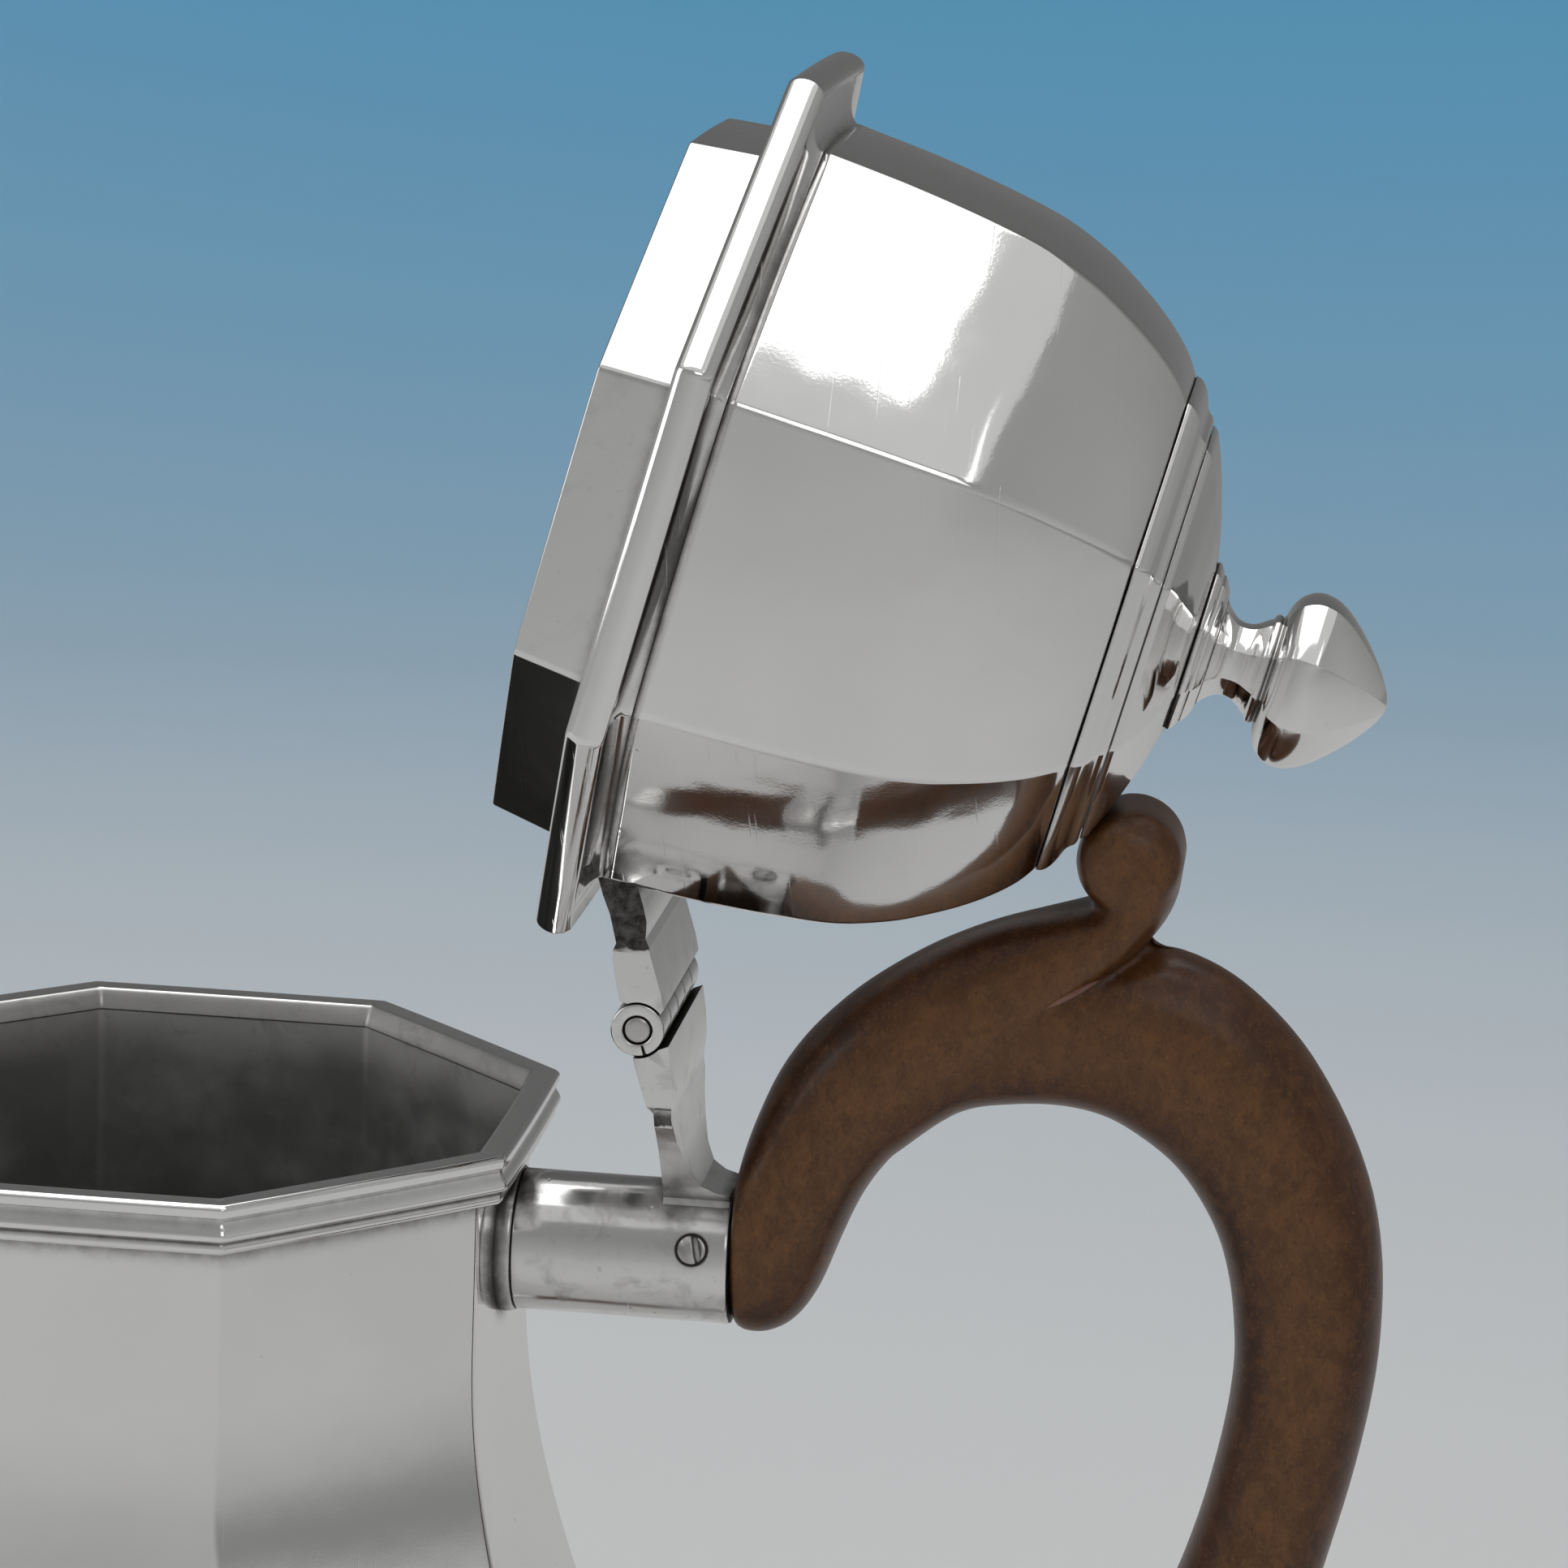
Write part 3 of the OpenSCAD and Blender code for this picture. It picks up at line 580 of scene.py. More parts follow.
# neck and patches are heights and (x, z) places in mm where old tarnish has settled
bracketSilver = silverLook("bracketSilver", leafTone, 0.13, neck=(180.9, 182.6),
                           patches=[((56.0, 172.0), (6.5, 2.2), 0.6)], **leafWear, **leafSoil)
strapSilver = silverLook("strapSilver", leafTone, 0.13, neck=(199.7, 208.0), **leafWear, **leafSoil)
socketSilver = silverLook("socketSilver", (0.80, 0.795, 0.785), 0.12, wave=0.3, ripple=0.6,
                          waveDepth=0.35, pit=0.9, stain=0.30, tarnish=0.95, creviceReach=2.6,
                          patches=[((57.0, 169.3), (6.5, 3.8), 0.85), ((41.0, 170.0), (5.0, 7.0), 0.9)])
collarSilver = silverLook("collarSilver", (0.70, 0.69, 0.675), 0.16, wave=0.3, ripple=0.8,
                          waveDepth=0.3, stain=0.75, tarnish=1.0, creviceReach=3.0)
insideSilver = silverLook("insideSilver", (0.44, 0.435, 0.43), 0.42, wave=0.3, ripple=0.3,
                          waveDepth=0.4, stain=0.30, tarnish=0.4, creviceReach=6)
pinSilver = silverLook("pinSilver", (0.62, 0.61, 0.60), 0.22, wave=0.1, ripple=0.8, waveDepth=0.12,
                       stain=0.35, tarnish=0.9, creviceReach=0.8)
lipSilver = silverLook("lipSilver", (0.50, 0.495, 0.485), 0.28, wave=0.2, ripple=0.3, waveDepth=0.3,
                       stain=0.3)
# a very dark finish for the rings round the pin heads: painted shade for the gaps of their holes
grime = silverLook("grime", (0.07, 0.065, 0.06), 0.5, wave=0.0, ripple=0.5, waveDepth=0.1, tarnish=0.9)

woodTones = {
    "dark": (0.044, 0.0155, 0.005), "mid": (0.088, 0.0325, 0.0095), "mottle": (0.155, 0.062, 0.018),
    # the next tone is a painted highlight for the middle of each flank
    "rubbed": (0.225, 0.097, 0.027), "lightFibre": (0.27, 0.135, 0.055),
    "darkFibre": (0.032, 0.015, 0.009), "lightSliver": (0.30, 0.155, 0.12),
    "grainTilt": 28,
}


def woodLook():
    look = bpy.data.materials.new("fruitwood")
    look.use_nodes = True
    tree = look.node_tree
    tree.nodes.clear()
    out = tree.nodes.new("ShaderNodeOutputMaterial")
    wood = tree.nodes.new("ShaderNodeBsdfPrincipled")
    tree.links.new(wood.outputs[0], out.inputs["Surface"])
    place3d = tree.nodes.new("ShaderNodeTexCoord").outputs["Object"]
    tilt = (0, math.radians(woodTones["grainTilt"]), 0)
    broad = noiseOf(tree, stretched(tree, place3d, (60, 50, 14), tilt), 1, 3.0, 0.5, 0.8)
    mottle = noiseOf(tree, stretched(tree, place3d, (640, 640, 430), tilt), 1, 4.0, 0.65, 0.4)
    fibre = noiseOf(tree, stretched(tree, place3d, (3000, 3000, 2000), tilt), 1, 3.0, 0.65)
    base = blendColours(tree, spread(tree, broad, 0.3, 0.7), woodTones["dark"], woodTones["mid"])
    base = blendColours(tree, mathNode(tree, "MULTIPLY", spread(tree, mottle, 0.42, 0.68), 0.45),
                        base, woodTones["mottle"])
    # painted highlight: the middle of each flank is painted lighter and more golden, standing in for the
    # sheen that runs along the side
    axes = tree.nodes.new("ShaderNodeSeparateXYZ")
    tree.links.new(place3d, axes.inputs[0])
    flank = spread(tree, mathNode(tree, "ABSOLUTE", axes.outputs["Y"]), 5.6 * mm, 7.5 * mm)
    rubbed = mathNode(tree, "MULTIPLY", flank, mathNode(tree, "MULTIPLY_ADD", mottle, 0.8, 0.05))
    base = blendColours(tree, rubbed, base, woodTones["rubbed"])
    base = blendColours(tree, mathNode(tree, "MULTIPLY", spread(tree, fibre, 0.56, 0.72), 0.35),
                        base, woodTones["lightFibre"])
    base = blendColours(tree, mathNode(tree, "MULTIPLY", spread(tree, fibre, 0.44, 0.30), 0.5),
                        base, woodTones["darkFibre"])
    # a lighter pinkish sliver at the end of the cut under the tongue
    lightSliver = softPatch(tree, place3d, (98.0, 196.4), (3.2, 0.34), -30.7)
    base = blendColours(tree, mathNode(tree, "MULTIPLY", lightSliver, 0.8), base, woodTones["lightSliver"])
    tree.links.new(base, wood.inputs["Base Color"])
    roughness = mathNode(tree, "MULTIPLY_ADD", mottle, 0.18, 0.30)
    tree.links.new(roughness, wood.inputs["Roughness"])
    wood.inputs["Coat Weight"].default_value = 0.25
    wood.inputs["Coat Roughness"].default_value = 0.22
    wood.inputs["IOR"].default_value = 1.42
    wood.inputs["Specular IOR Level"].default_value = 0.38
    bump = addNode(tree, "ShaderNodeBump", inStrength=0.5, inDistance=0.03 * mm)
    height = mathNode(tree, "MULTIPLY_ADD", mottle, 1.5, fibre)
    tree.links.new(height, bump.inputs["Height"])
    uneven = addNode(tree, "ShaderNodeBump", inStrength=0.7, inDistance=0.6 * mm)
    tree.links.new(noiseOf(tree, place3d, 70, 2.0, 0.4), uneven.inputs["Height"])
    tree.links.new(uneven.outputs["Normal"], bump.inputs["Normal"])
    tree.links.new(bump.outputs["Normal"], wood.inputs["Normal"])
    return look


fruitwood = woodLook()
print("finishes made")

pot = {
    "beltRadius": 63, "beltHeight": 62,
    "waistRadius": 35, "waistHeight": 17,
    "neckRadius": 41.4, "neckHeight": 155, "top": 176.8, "lipFrom": 175.56,
    "wall": 1.0,
    "strainerHole": 1.2, "strainerPitch": 4.6, "strainerHeight": 66,
}


def potRadius(z):
    if z >= pot["neckHeight"]:
        return pot["neckRadius"]
    if z >= pot["beltHeight"]:
        share = (pot["neckHeight"] - z) / (pot["neckHeight"] - pot["beltHeight"])
        return lerp(pot["neckRadius"], pot["beltRadius"], (1 - math.cos(math.pi * share)) / 2)
    share = (pot["beltHeight"] - z) / (pot["beltHeight"] - pot["waistHeight"])
    return lerp(pot["waistRadius"], pot["beltRadius"], (1 + math.cos(math.pi * share ** 1.3)) / 2)


def buildPotBody():
    heights = [lerp(pot["waistHeight"], pot["neckHeight"], i / 60) for i in range(61)]
    heights += [160, 165, 170, pot["lipFrom"]]
    line = [(potRadius(z), z) for z in heights]
    bm = octagonTurn(shell(line, pot["wall"]), crown=0.35, arris=0.45, cornerShare=0.045)
    holes = []
    for i in range(7):
        turn = math.tau * i / 6
        reach = pot["strainerPitch"] if i < 6 else 0
        hole = roundTurn([(0, -8), (pot["strainerHole"], -8), (pot["strainerHole"], 8), (0, 8)], 20)
        at = (-pot["beltRadius"] * flatShare, -reach * math.sin(turn),
              pot["strainerHeight"] + reach * math.cos(turn))
        holes.append(place(hole, alongX, at))
    bm = cutWith(bm, joined(holes))
    for face in bm.faces:
        middle = face.calc_center_median()
        inward = face.normal.x * middle.x + face.normal.y * middle.y < -1e-3 * middle.length
        face.material_index = 1 if inward else 0
    return finishPiece("potBody", bm, "pot", [bodySilver, insideSilver], ["pot_body"])


def buildRim():
    z = pot["top"]
    ring = [(40.32, z - 1.25), (40.5, z - 0.5), (40.85, z + 0.3), (41.3, rimTop - 0.2), (41.8, rimTop),
            (44.1, rimTop), (44.6, rimTop - 0.4), (44.5, z - 0.2), (41.45, z - 0.2), (41.35, z - 1.25)]
    bm = octagonTurn(eased(ring, 0.22), crown=0.15, arris=0.3, cornerShare=0.03)
    for face in bm.faces:
        middle = face.calc_center_median()
        face.material_index = 1 if face.normal.xy.dot(middle.xy) < -0.5 * middle.xy.length else 0
    finishPiece("rimRing", bm, "pot", [turnedSilver, lipSilver], ["rim_ring"])
    # a broad hollow under the edge, a bead, a narrow fillet
    bands = smoothLine([(44.25, z), (44.1, z - 0.35), (44.2, z - 0.9), (44.6, z - 1.6), (44.75, z - 2.1),
                        (44.55, z - 2.55), (44.0, z - 2.75), (44.15, z - 3.1), (44.2, z - 3.6),
                        (43.9, z - 4.05)], 4)
    moulding = [(pot["neckRadius"], z)] + bands + [(42.7, z - 4.3), (pot["neckRadius"], z - 4.4)]
    finishPiece("rimMoulding", octagonTurn(moulding, crown=0.15, arris=0.3, cornerShare=0.03),
                "pot", [turnedSilver], ["rim_moulding"])


def buildFoot():
    flare = smoothLine([(45.4, 5), (44.6, 7), (40.4, 9), (36.4, 12.8), (35, 17)], 7)
    finishPiece("footFlare", octagonTurn(shell(flare, 1), crown=0.2, arris=0.4),
                "pot", [turnedSilver], ["foot"])
    edge = [(43, 5), (45.8, 5)] + reeding(46.2, 4.6, [(1.4, 0.6), (2.4, 0.8)])
    edge += [(46.4, 0.7), (46.4, 0), (43, 0)]
    finishPiece("footEdge", octagonTurn(eased(edge, 0.25, 50), crown=0.2, arris=0.4),
                "pot", [turnedSilver], ["foot_edge"])
    dress("base_plate", insideSilver)


buildPotBody()
buildRim()
buildFoot()
print("pot made")


spout = {
    "curve": [(-28.35, 64), (-97, 58), (-64, 135.8), (-101, 163)],
    "rootRadius": 15, "mouthRadius": 6.6, "wall": 1.1,
    "lipFrom": 0.925, "lipWidth": 0.8,
    "rootPlane": -57.3,
    "flatShares": (0, 0.45, 0.78, 0.94, 1), "crown": 0.12,
}


def spoutPlace(t):
    c = [Vector(p) for p in spout["curve"]]
    at = c[0] * (1 - t) ** 3 + c[1] * 3 * (1 - t) ** 2 * t + c[2] * 3 * (1 - t) * t * t + c[3] * t ** 3
    run = (c[1] - c[0]) * (1 - t) ** 2 + (c[2] - c[1]) * 2 * (1 - t) * t + (c[3] - c[2]) * t * t
    return at, run.normalized()


def spoutRing(bm, t, extra):
    at, run = spoutPlace(t)
    radius = lerp(spout["rootRadius"], spout["mouthRadius"], math.sin(math.pi / 2 * t) ** 1.1) + extra
    shares = spout["flatShares"]

    def shape(turn):
        a, b, _ = onFlat(math.degrees(turn), shares, radius, spout["crown"])
        return Vector((at.x - run.y * a, b, at.y + run.x * a))

    return ringOf(bm, 16 * (len(shares) - 1), shape)


def buildSpout():
    bm = bmesh.new()
    stations = [i / 40 for i in range(41)]
    rings = [spoutRing(bm, t, 0) for t in stations]
    inner = -spout["wall"] / flatShare
    rings.append(spoutRing(bm, 1, inner * 0.5))
    rings += [spoutRing(bm, t, inner) for t in stations[::-1]]
    loft(bm, rings, closeEnds=False)
    cut = bmesh.ops.bisect_plane(bm, geom=bm.verts[:] + bm.edges[:] + bm.faces[:], dist=1e-4,
                                 plane_co=(spout["rootPlane"], 0, 0), plane_no=(1, 0, 0),
                                 clear_outer=True)
    rootEdges = [e for e in cut["geom_cut"] if isinstance(e, bmesh.types.BMEdge)]
    bmesh.ops.bridge_loops(bm, edges=rootEdges)
    bmesh.ops.recalc_face_normals(bm, faces=bm.faces)
    bevelSharp(bm, 30, 0.2)
    finishPiece("spoutTube", bm, "pot", [bodySilver], ["spout"])

    bm = bmesh.new()
    w = spout["lipWidth"]
    outline = [(0.0, 0.05), (0.08, 0.55 * w), (0.22, 0.75 * w), (0.36, 0.55 * w), (0.44, 0.35 * w),
               (0.52, 0.6 * w), (0.68, w), (0.86, w), (1.0, 0.6 * w)]
    rings = [spoutRing(bm, lerp(spout["lipFrom"], 1, a), extra) for a, extra in outline]
    rings.append(spoutRing(bm, 1, -0.1))
    rings.append(spoutRing(bm, spout["lipFrom"], -0.1))
    loft(bm, rings, closeLoop=True)
    bmesh.ops.recalc_face_normals(bm, faces=bm.faces)
    finishPiece("spoutLip", bm, "pot", [turnedSilver], ["spout_lip"])
    dress("spout_plate", bodySilver)


buildSpout()
print("spout made")


sockets = {
    "upper": {"collarFrom": 38.25, "start": 40.25, "end": 63.25, "z": 163.95, "radius": 7.5, "tilt": 17.5},
    "lower": {"collarFrom": 57.52, "start": 59.52, "end": 72.52, "z": 73.0, "radius": 6.8, "tilt": 0},
}
pin = {"radius": 1.65, "inset": 3.8, "proud": 0.2, "slot": 0.6, "slotDepth": 1.1, "slotTurn": 12}


def buildSocket(name, size):
    r = size["radius"]
    # a lathe line up the tube, with a fine bead at its free end
    tube = [(r - 1, size["start"]), (r, size["start"]), (r, size["end"] - 0.9), (r + 0.06, size["end"] - 0.5),
            (r, size["end"]), (r - 1, size["end"])]
    steps = [tube[0]]
    for a, b in zip(tube, tube[1:]):
        count = max(1, round(abs(b[1] - a[1]) / 2))
        steps += [(lerp(a[0], b[0], k / count), lerp(a[1], b[1], k / count)) for k in range(1, count + 1)]
    bm = place(roundTurn(eased(steps, 0.22), 72), alongX, (0, 0, size["z"]))
    finishPiece(name + "Socket", bm, "pot", [socketSilver], [name + "_socket"])
    edge = r + 0.28
    from0, to0 = size["collarFrom"] - 0.3, size["start"] - 0.02
    strip = [(0, from0), (edge, from0), (edge + 0.1, (from0 + to0) / 2), (edge, to0 - 0.15),
             (edge - 0.3, to0), (0, to0)]
    bm = roundTurn(eased(strip, 0.25), 72)
    finishPiece(name + "Collar", place(bm, alongX, (0, 0, size["z"])), "pot",
                [collarSilver], [name + "_collar"])


def buildPin(name, size):
    half = size["radius"] + pin["proud"]
    r = pin["radius"]
    line = [(0, -half), (r - 0.22, -half + 0.03), (r, -half + 0.3), (r, half - 0.3), (r - 0.22, half - 0.03),
            (0, half)]
    slot = box((pin["slot"], 3.4 * r, pin["slotDepth"]), (0.35 * r, 0, half),
               Matrix.Rotation(math.radians(pin["slotTurn"]), 3, "Z"))
    bm = cutWith(roundTurn(line, 40), slot)
    # a dark ring round each head: painted shade standing in for the gap of its hole
    grimed = len(bm.faces)
    ringLine = [(r - 0.1, half - 0.6), (r + 0.11, half - 0.6), (r + 0.11, half - 0.1), (r - 0.1, half - 0.06)]
    rings = [roundTurn([(x, side * z) for x, z in ringLine[::side]], 40) for side in (1, -1)]
    bm = joined([bm] + rings)
    bm.faces.ensure_lookup_table()
    for face in bm.faces[grimed:]:
        face.material_index = 1
    at = (size["end"] - pin["inset"], 0, size["z"])
    bm = place(bm, Matrix.Rotation(math.radians(90 - size["tilt"]), 3, "X"), at)
    finishPiece(name + "HandlePin", bm, "pot", [pinSilver, grime], [name + "_handle_pin"])


for socketName, socketSize in sockets.items():
    buildSocket(socketName, socketSize)
    buildPin(socketName, socketSize)
print("sockets made")


def knuckleStart(i):
    length = (barrel["length"] - (barrel["knuckles"] - 1) * barrel["gap"]) / barrel["knuckles"]
    return -barrel["length"] / 2 + i * (length + barrel["gap"]), length


def buildKnuckles(name, which, body, node):
    rings = []
    for i in which:
        start, length = knuckleStart(i)
        r = barrel["radius"]
        bore = barrel["pinRadius"] + 0.06
        line = [(bore, start), (r, start), (r, start + length / 2), (r, start + length),
                (bore, start + length)]
        rings.append(place(roundTurn(eased(line, 0.3), 56), alongY, hingeAt))
    bm = joined(rings)
    # the joint where the sheet was rolled round the pin
    seam = box((0.14, barrel["length"] + 4, 2.2), hingeAt + Vector((0.85, 0, -2.6)),
               Matrix.Rotation(math.radians(-18), 3, "Y"))
    bm = cutWith(bm, seam)
    finishPiece(name, bm, body, [hingeSilver], [node])


def buildHinge():
    buildKnuckles("potKnuckles", (0, 2, 4), "pot", "pot_knuckles")
    buildKnuckles("lidKnuckles", (1, 3), "lid", "lid_knuckles")
    r, half = barrel["pinRadius"], barrel["length"] / 2
    line = [(0, -half + 0.12), (r * 0.55, -half + 0.03), (r * 0.85, -half + 0.1), (r, -half + 0.3),
            (r, half - 0.3), (r * 0.85, half - 0.1), (r * 0.55, half - 0.03), (0, half - 0.12)]
    bm = place(roundTurn(line, 36), alongY, hingeAt)
    finishPiece("hingePin", bm, "pot", [pinSilver], ["hinge_pin"])
    buildBracket()
    buildStrap()


# leaf outlines, x and z from the hinge axis: the barrel end first, then the outer side, then back up
leaves = {
    "bracketSide": [
        (-0.35, -3.0), (3.3, -1.5), (3.75, -4.4), (3.9, -7.0), (3.8, -8.1), (3.75, -9.4), (3.95, -10.6),
        (4.25, -12.6), (4.7, -14.8), (5.3, -17.0), (6.2, -18.6), (7.6, -19.4), (9.2, -19.8), (9.2, -24.0),
        (2.1, -24.0), (2.1, -19.5), (2.15, -16.5), (2.15, -13.4), (2.1, -11.2), (2.0, -10.0),
        (1.9, -8.9), (1.3, -8.3), (0.8, -6.9), (0.2, -4.9),
    ],
    "bracketFront": [
        (13.0, 0), (13.0, -8.1), (12.5, -8.5), (12.35, -10.4), (10.8, -12.2), (8.9, -14.3), (6.9, -16.6),
        (4.9, -18.9), (4.0, -20.4), (4.6, -22.0), (5.4, -24.0),
    ],
    "strapSide": [
        (-1.9, 3.0), (-2.4, 5.3), (-2.8, 7.6), (-2.8, 8.3), (-2.55, 9.0), (-2.8, 10.0), (-3.3, 12.0),
        (-4.1, 14.0), (-4.7, 16.0), (-4.8, 18.5), (-1.2, 18.5), (-0.7, 15.6), (0.1, 13.2), (0.55, 11.4),
        (0.5, 9.6), (0.95, 8.6), (1.15, 7.9), (1.75, 6.0), (2.3, 4.2), (2.7, 2.4), (2.3, 1.7),
    ],
    "strapFront": [(13.0, 0), (13.0, 8.2), (12.5, 8.7), (12.4, 20)],
}


def leafPrism(outline):
    def place3d(u, v, w):
        return Vector((hingeAt.x + u, w, hingeAt.z + v))
    return prism(outline, barrel["length"], place3d)


def barrelClear(extra):
    # the room that the barrel takes, with a gap all round
    r, half = barrel["radius"] + extra, barrel["length"]
    bm = roundTurn([(0, -half), (r, -half), (r, half), (0, half)], 56)
    return place(bm, alongY, hingeAt)


def narrowed(bm, half):
    # keeps what lies inside a front outline given for one side
    front = half + [(-y, z) for y, z in half[::-1]]
    return cutWith(bm, prism(front, 60, lambda u, v, w: hingeAt + Vector((w, u, v))), "INTERSECT")


def buildBracket():
    bm = cutWith(leafPrism(leaves["bracketSide"]), barrelClear(barrel["gap"] * 0.6))
    bm = narrowed(bm, leaves["bracketFront"])
    upper = sockets["upper"]
    tube = roundTurn([(0, 0), (upper["radius"], 0), (upper["radius"], 70), (0, 70)], 96)
    bm = cutWith(bm, place(tube, alongX, (0, 0, upper["z"])))
    # nothing of its foot stands past the socket's free end
    bm = cutWith(bm, box((10, 40, 60), (upper["end"] - 0.3 + 5, 0, upper["z"] + 20)))
    bm = softenCut(bm, 18, 0.3)
    finishPiece("hingeBracket", bm, "pot", [bracketSilver], ["hinge_bracket"])


def buildStrap():
    bm = cutWith(leafPrism(leaves["strapSide"]), barrelClear(barrel["gap"] * 0.6))
    bm = softenCut(narrowed(bm, leaves["strapFront"]), 18, 0.3)
    finishPiece("lidStrap", bm, "lid", [strapSilver], ["lid_strap"])


buildHinge()
print("hinge made")


# heights from the rim, with the lid closed
lid = {
    "gap": 0.3, "bezelRadius": 39.32, "bezelDepth": 8, "bezelTaper": 1.1, "bezelWall": 1,
    "flangeRadius": 48.9, "domeRadius": 41.8, "domeWall": 0.9,
    "capRadius": 22.9, "capWall": 0.9, "finialFrom": 55.1, "top": 75.9,
    "dome": [(41.85, 5.5), (41.5, 10.7), (41.2, 14.5), (40.7, 19), (40.0, 24), (38.9, 29.5),
             (37.0, 34.5), (35.2, 37.8), (33.3, 40.8), (31.2, 43.5), (29.1, 45.6), (27.2, 46.9)],
}


def buildBezelAndFlange():
    g, r, t = lid["gap"], lid["bezelRadius"], lid["bezelWall"]
    low = g - lid["bezelDepth"]
    bezel = [(r - t, g), (r, g), (r - 0.55, (g + low) / 2), (r - lid["bezelTaper"], low),
             (r - lid["bezelTaper"] - t, low), (r - 0.55 - t, (g + low) / 2)]
    finishPiece("lidBezel", swingOpen(octagonTurn(eased(bezel, 0.3), crown=0.2, arris=0.35)),
                "lid", [bezelSilver], ["lid_bezel"])

    f, d = lid["flangeRadius"], lid["domeRadius"]
    edge = []
    for a in range(-90, 91, 15):
        turn = math.radians(a)
        edge.append((f - 1.2 + 1.2 * math.cos(turn), g + 3.8 * (1 + math.sin(turn)) / 2))
    for a in range(0, 90, 9):
        turn = math.radians(a)
        edge.append((lerp(d, f - 2, 1 - math.sin(turn)), lerp(g + 3.3, g + 5.2, 1 - math.cos(turn))))
    flange = [(r - t, g)] + edge + [(d, g + 5.2), (d - 0.97, g + 5.2), (d - 0.97, g + 1.2), (r - t, g + 1.2)]
    bm = octagonTurn(eased(flange, 0.2, 50), crown=0.15, arris=0.35, cornerShare=0.03)
    finishPiece("lidFlange", swingOpen(bm), "lid", [turnedSilver], ["lid_flange"])


def buildDome():
    dome = smoothLine(lid["dome"], 4)
    bm = octagonTurn(shell(dome, lid["domeWall"]), crown=0.55, arris=0.6, cornerShare=0.05)
    finishPiece("lidDome", swingOpen(bm), "lid", [lidSilver], ["lid_dome"])

    c, wall = lid["capRadius"], lid["capWall"]
    steps = smoothLine([(27.2, 47.05), (27.05, 47.6), (26.5, 48.2), (25.5, 48.75), (24.4, 49.15),
                        (23.9, 49.5), (23.5, 49.95), (c + 0.1, 50.15)], 4)
    moulding = [(c - wall, 46.9), (26.9, 46.9)] + steps + [(c - wall, 50.15)]
    bm = octagonTurn(moulding, crown=0.2, arris=0.35, cornerShare=0.03)
    finishPiece("capMoulding", swingOpen(bm), "lid", [turnedSilver], ["cap_moulding"])

    top = smoothLine([(c - 0.15, 50.25), (22.3, 50.85), (21.2, 51.35), (18.6, 52.4), (16.1, 53.2),
                      (12.8, 54.2), (9.2, 55.0)], 4)
    under = [(r - wall, z - 0.7) for r, z in top[::-1][2:-3]]
    cap = [(0, 54.2), (9.2, 54.1)] + under + [(c - 1.2, 50.25)] + top + [(0, 55.1)]
    bm = octagonTurn(cap, crown=0.3, arris=0.4, cornerShare=0.05)
    finishPiece("lidCap", swingOpen(bm), "lid", [lidSilver], ["lid_cap"])


def buildFinial():
    z = lid["finialFrom"]
    steps = smoothLine([(9.15, z + 0.05), (9.1, z + 0.35), (8.6, z + 0.75), (8.1, z + 0.95), (8.0, z + 1.2),
                        (7.4, z + 1.6), (6.5, z + 2.0), (5.8, z + 2.1)], 3)
    base = [(0, z - 0.1), (9.0, z - 0.1)] + steps + [(0, z + 2.1)]
    bm = octagonTurn(base, crown=0.4, arris=0.22, cornerShare=0.07)
    finishPiece("finialBase", swingOpen(bm), "lid", [turnedSilver], ["finial_base"])

    bud = smoothLine([(5.8, z + 2.1), (5.0, z + 2.7), (4.25, z + 3.6), (3.98, z + 4.5), (4.2, z + 5.6),
                      (4.9, z + 6.6), (5.3, z + 7.2)], 4)
    bud += smoothLine([(5.75, z + 7.35), (5.9, z + 7.75), (5.7, z + 8.1)], 3)
    bud += smoothLine([(6.0, z + 8.3), (7.2, z + 8.6), (8.4, z + 9.3), (9.2, z + 10.4), (9.45, z + 11.6),
                       (9.15, z + 13.1), (8.35, z + 14.5), (7.0, z + 16.1), (5.1, z + 17.9), (3.3, z + 19.3),
                       (1.7, z + 20.3), (0.6, z + 20.75)], 4)
    finial = [(0, z + 2.0)] + bud + [(0, lid["top"])]
    bm = octagonTurn(finial, crown=0.9, arris=0.28, cornerShare=0.09)
    finishPiece("finialBud", swingOpen(bm), "lid", [turnedSilver], ["finial"])


buildBezelAndFlange()
buildDome()
buildFinial()
print("lid made")


handle = {
    "halfWidth": 7.5,
    "voxel": 0.5,
    "scrollAt": (103.0, 210.2), "scrollRadius": 5.55,
    "eyeAt": (101.9, 208.8), "eyeRadius": 3.6,
    "eyeFace": 7.3, "eyeFrom": 205.5,
    "squareness": 2.35,
    # a fluted cut under the tongue, from its tip back to the body
    "cut": [(106.41, 201.59), (103.95, 199.99), (101.15, 198.17), (95.25, 194.76)],
    "cutDepth": (1.7, 0.45), "cutWidth": (0.9, 0.6),
}
# each pair is a point on the outer side of the wood and the one facing it on the inner side, z from the rim
tongue = [
    ((63.35, -5.2), (63.6, -21.2)), ((64.0, -2.2), (65.0, -22.1)), ((65.3, 1.8), (67.4, -22.0)),
    ((67.2, 6.3), (70.1, -20.4)), ((69.6, 10.1), (72.5, -16.8)), ((72.4, 13.3), (74.6, -11.2)),
    ((75.8, 16.4), (76.8, -6.0)), ((80.0, 19.4), (79.8, -1.6)), ((84.5, 22.0), (84.0, 2.6)),
    ((89.5, 24.2), (88.8, 6.4)), ((94.2, 25.7), (93.4, 11.0)), ((98.0, 26.8), (98.4, 16.6)),
    ((100.4, 27.5), (103.4, 21.2)), ((101.0, 28.6), (106.8, 25.4)), ((101.6, 30.4), (108.2, 28.8)),
    ((103.2, 32.4), (108.4, 32.0)),
]
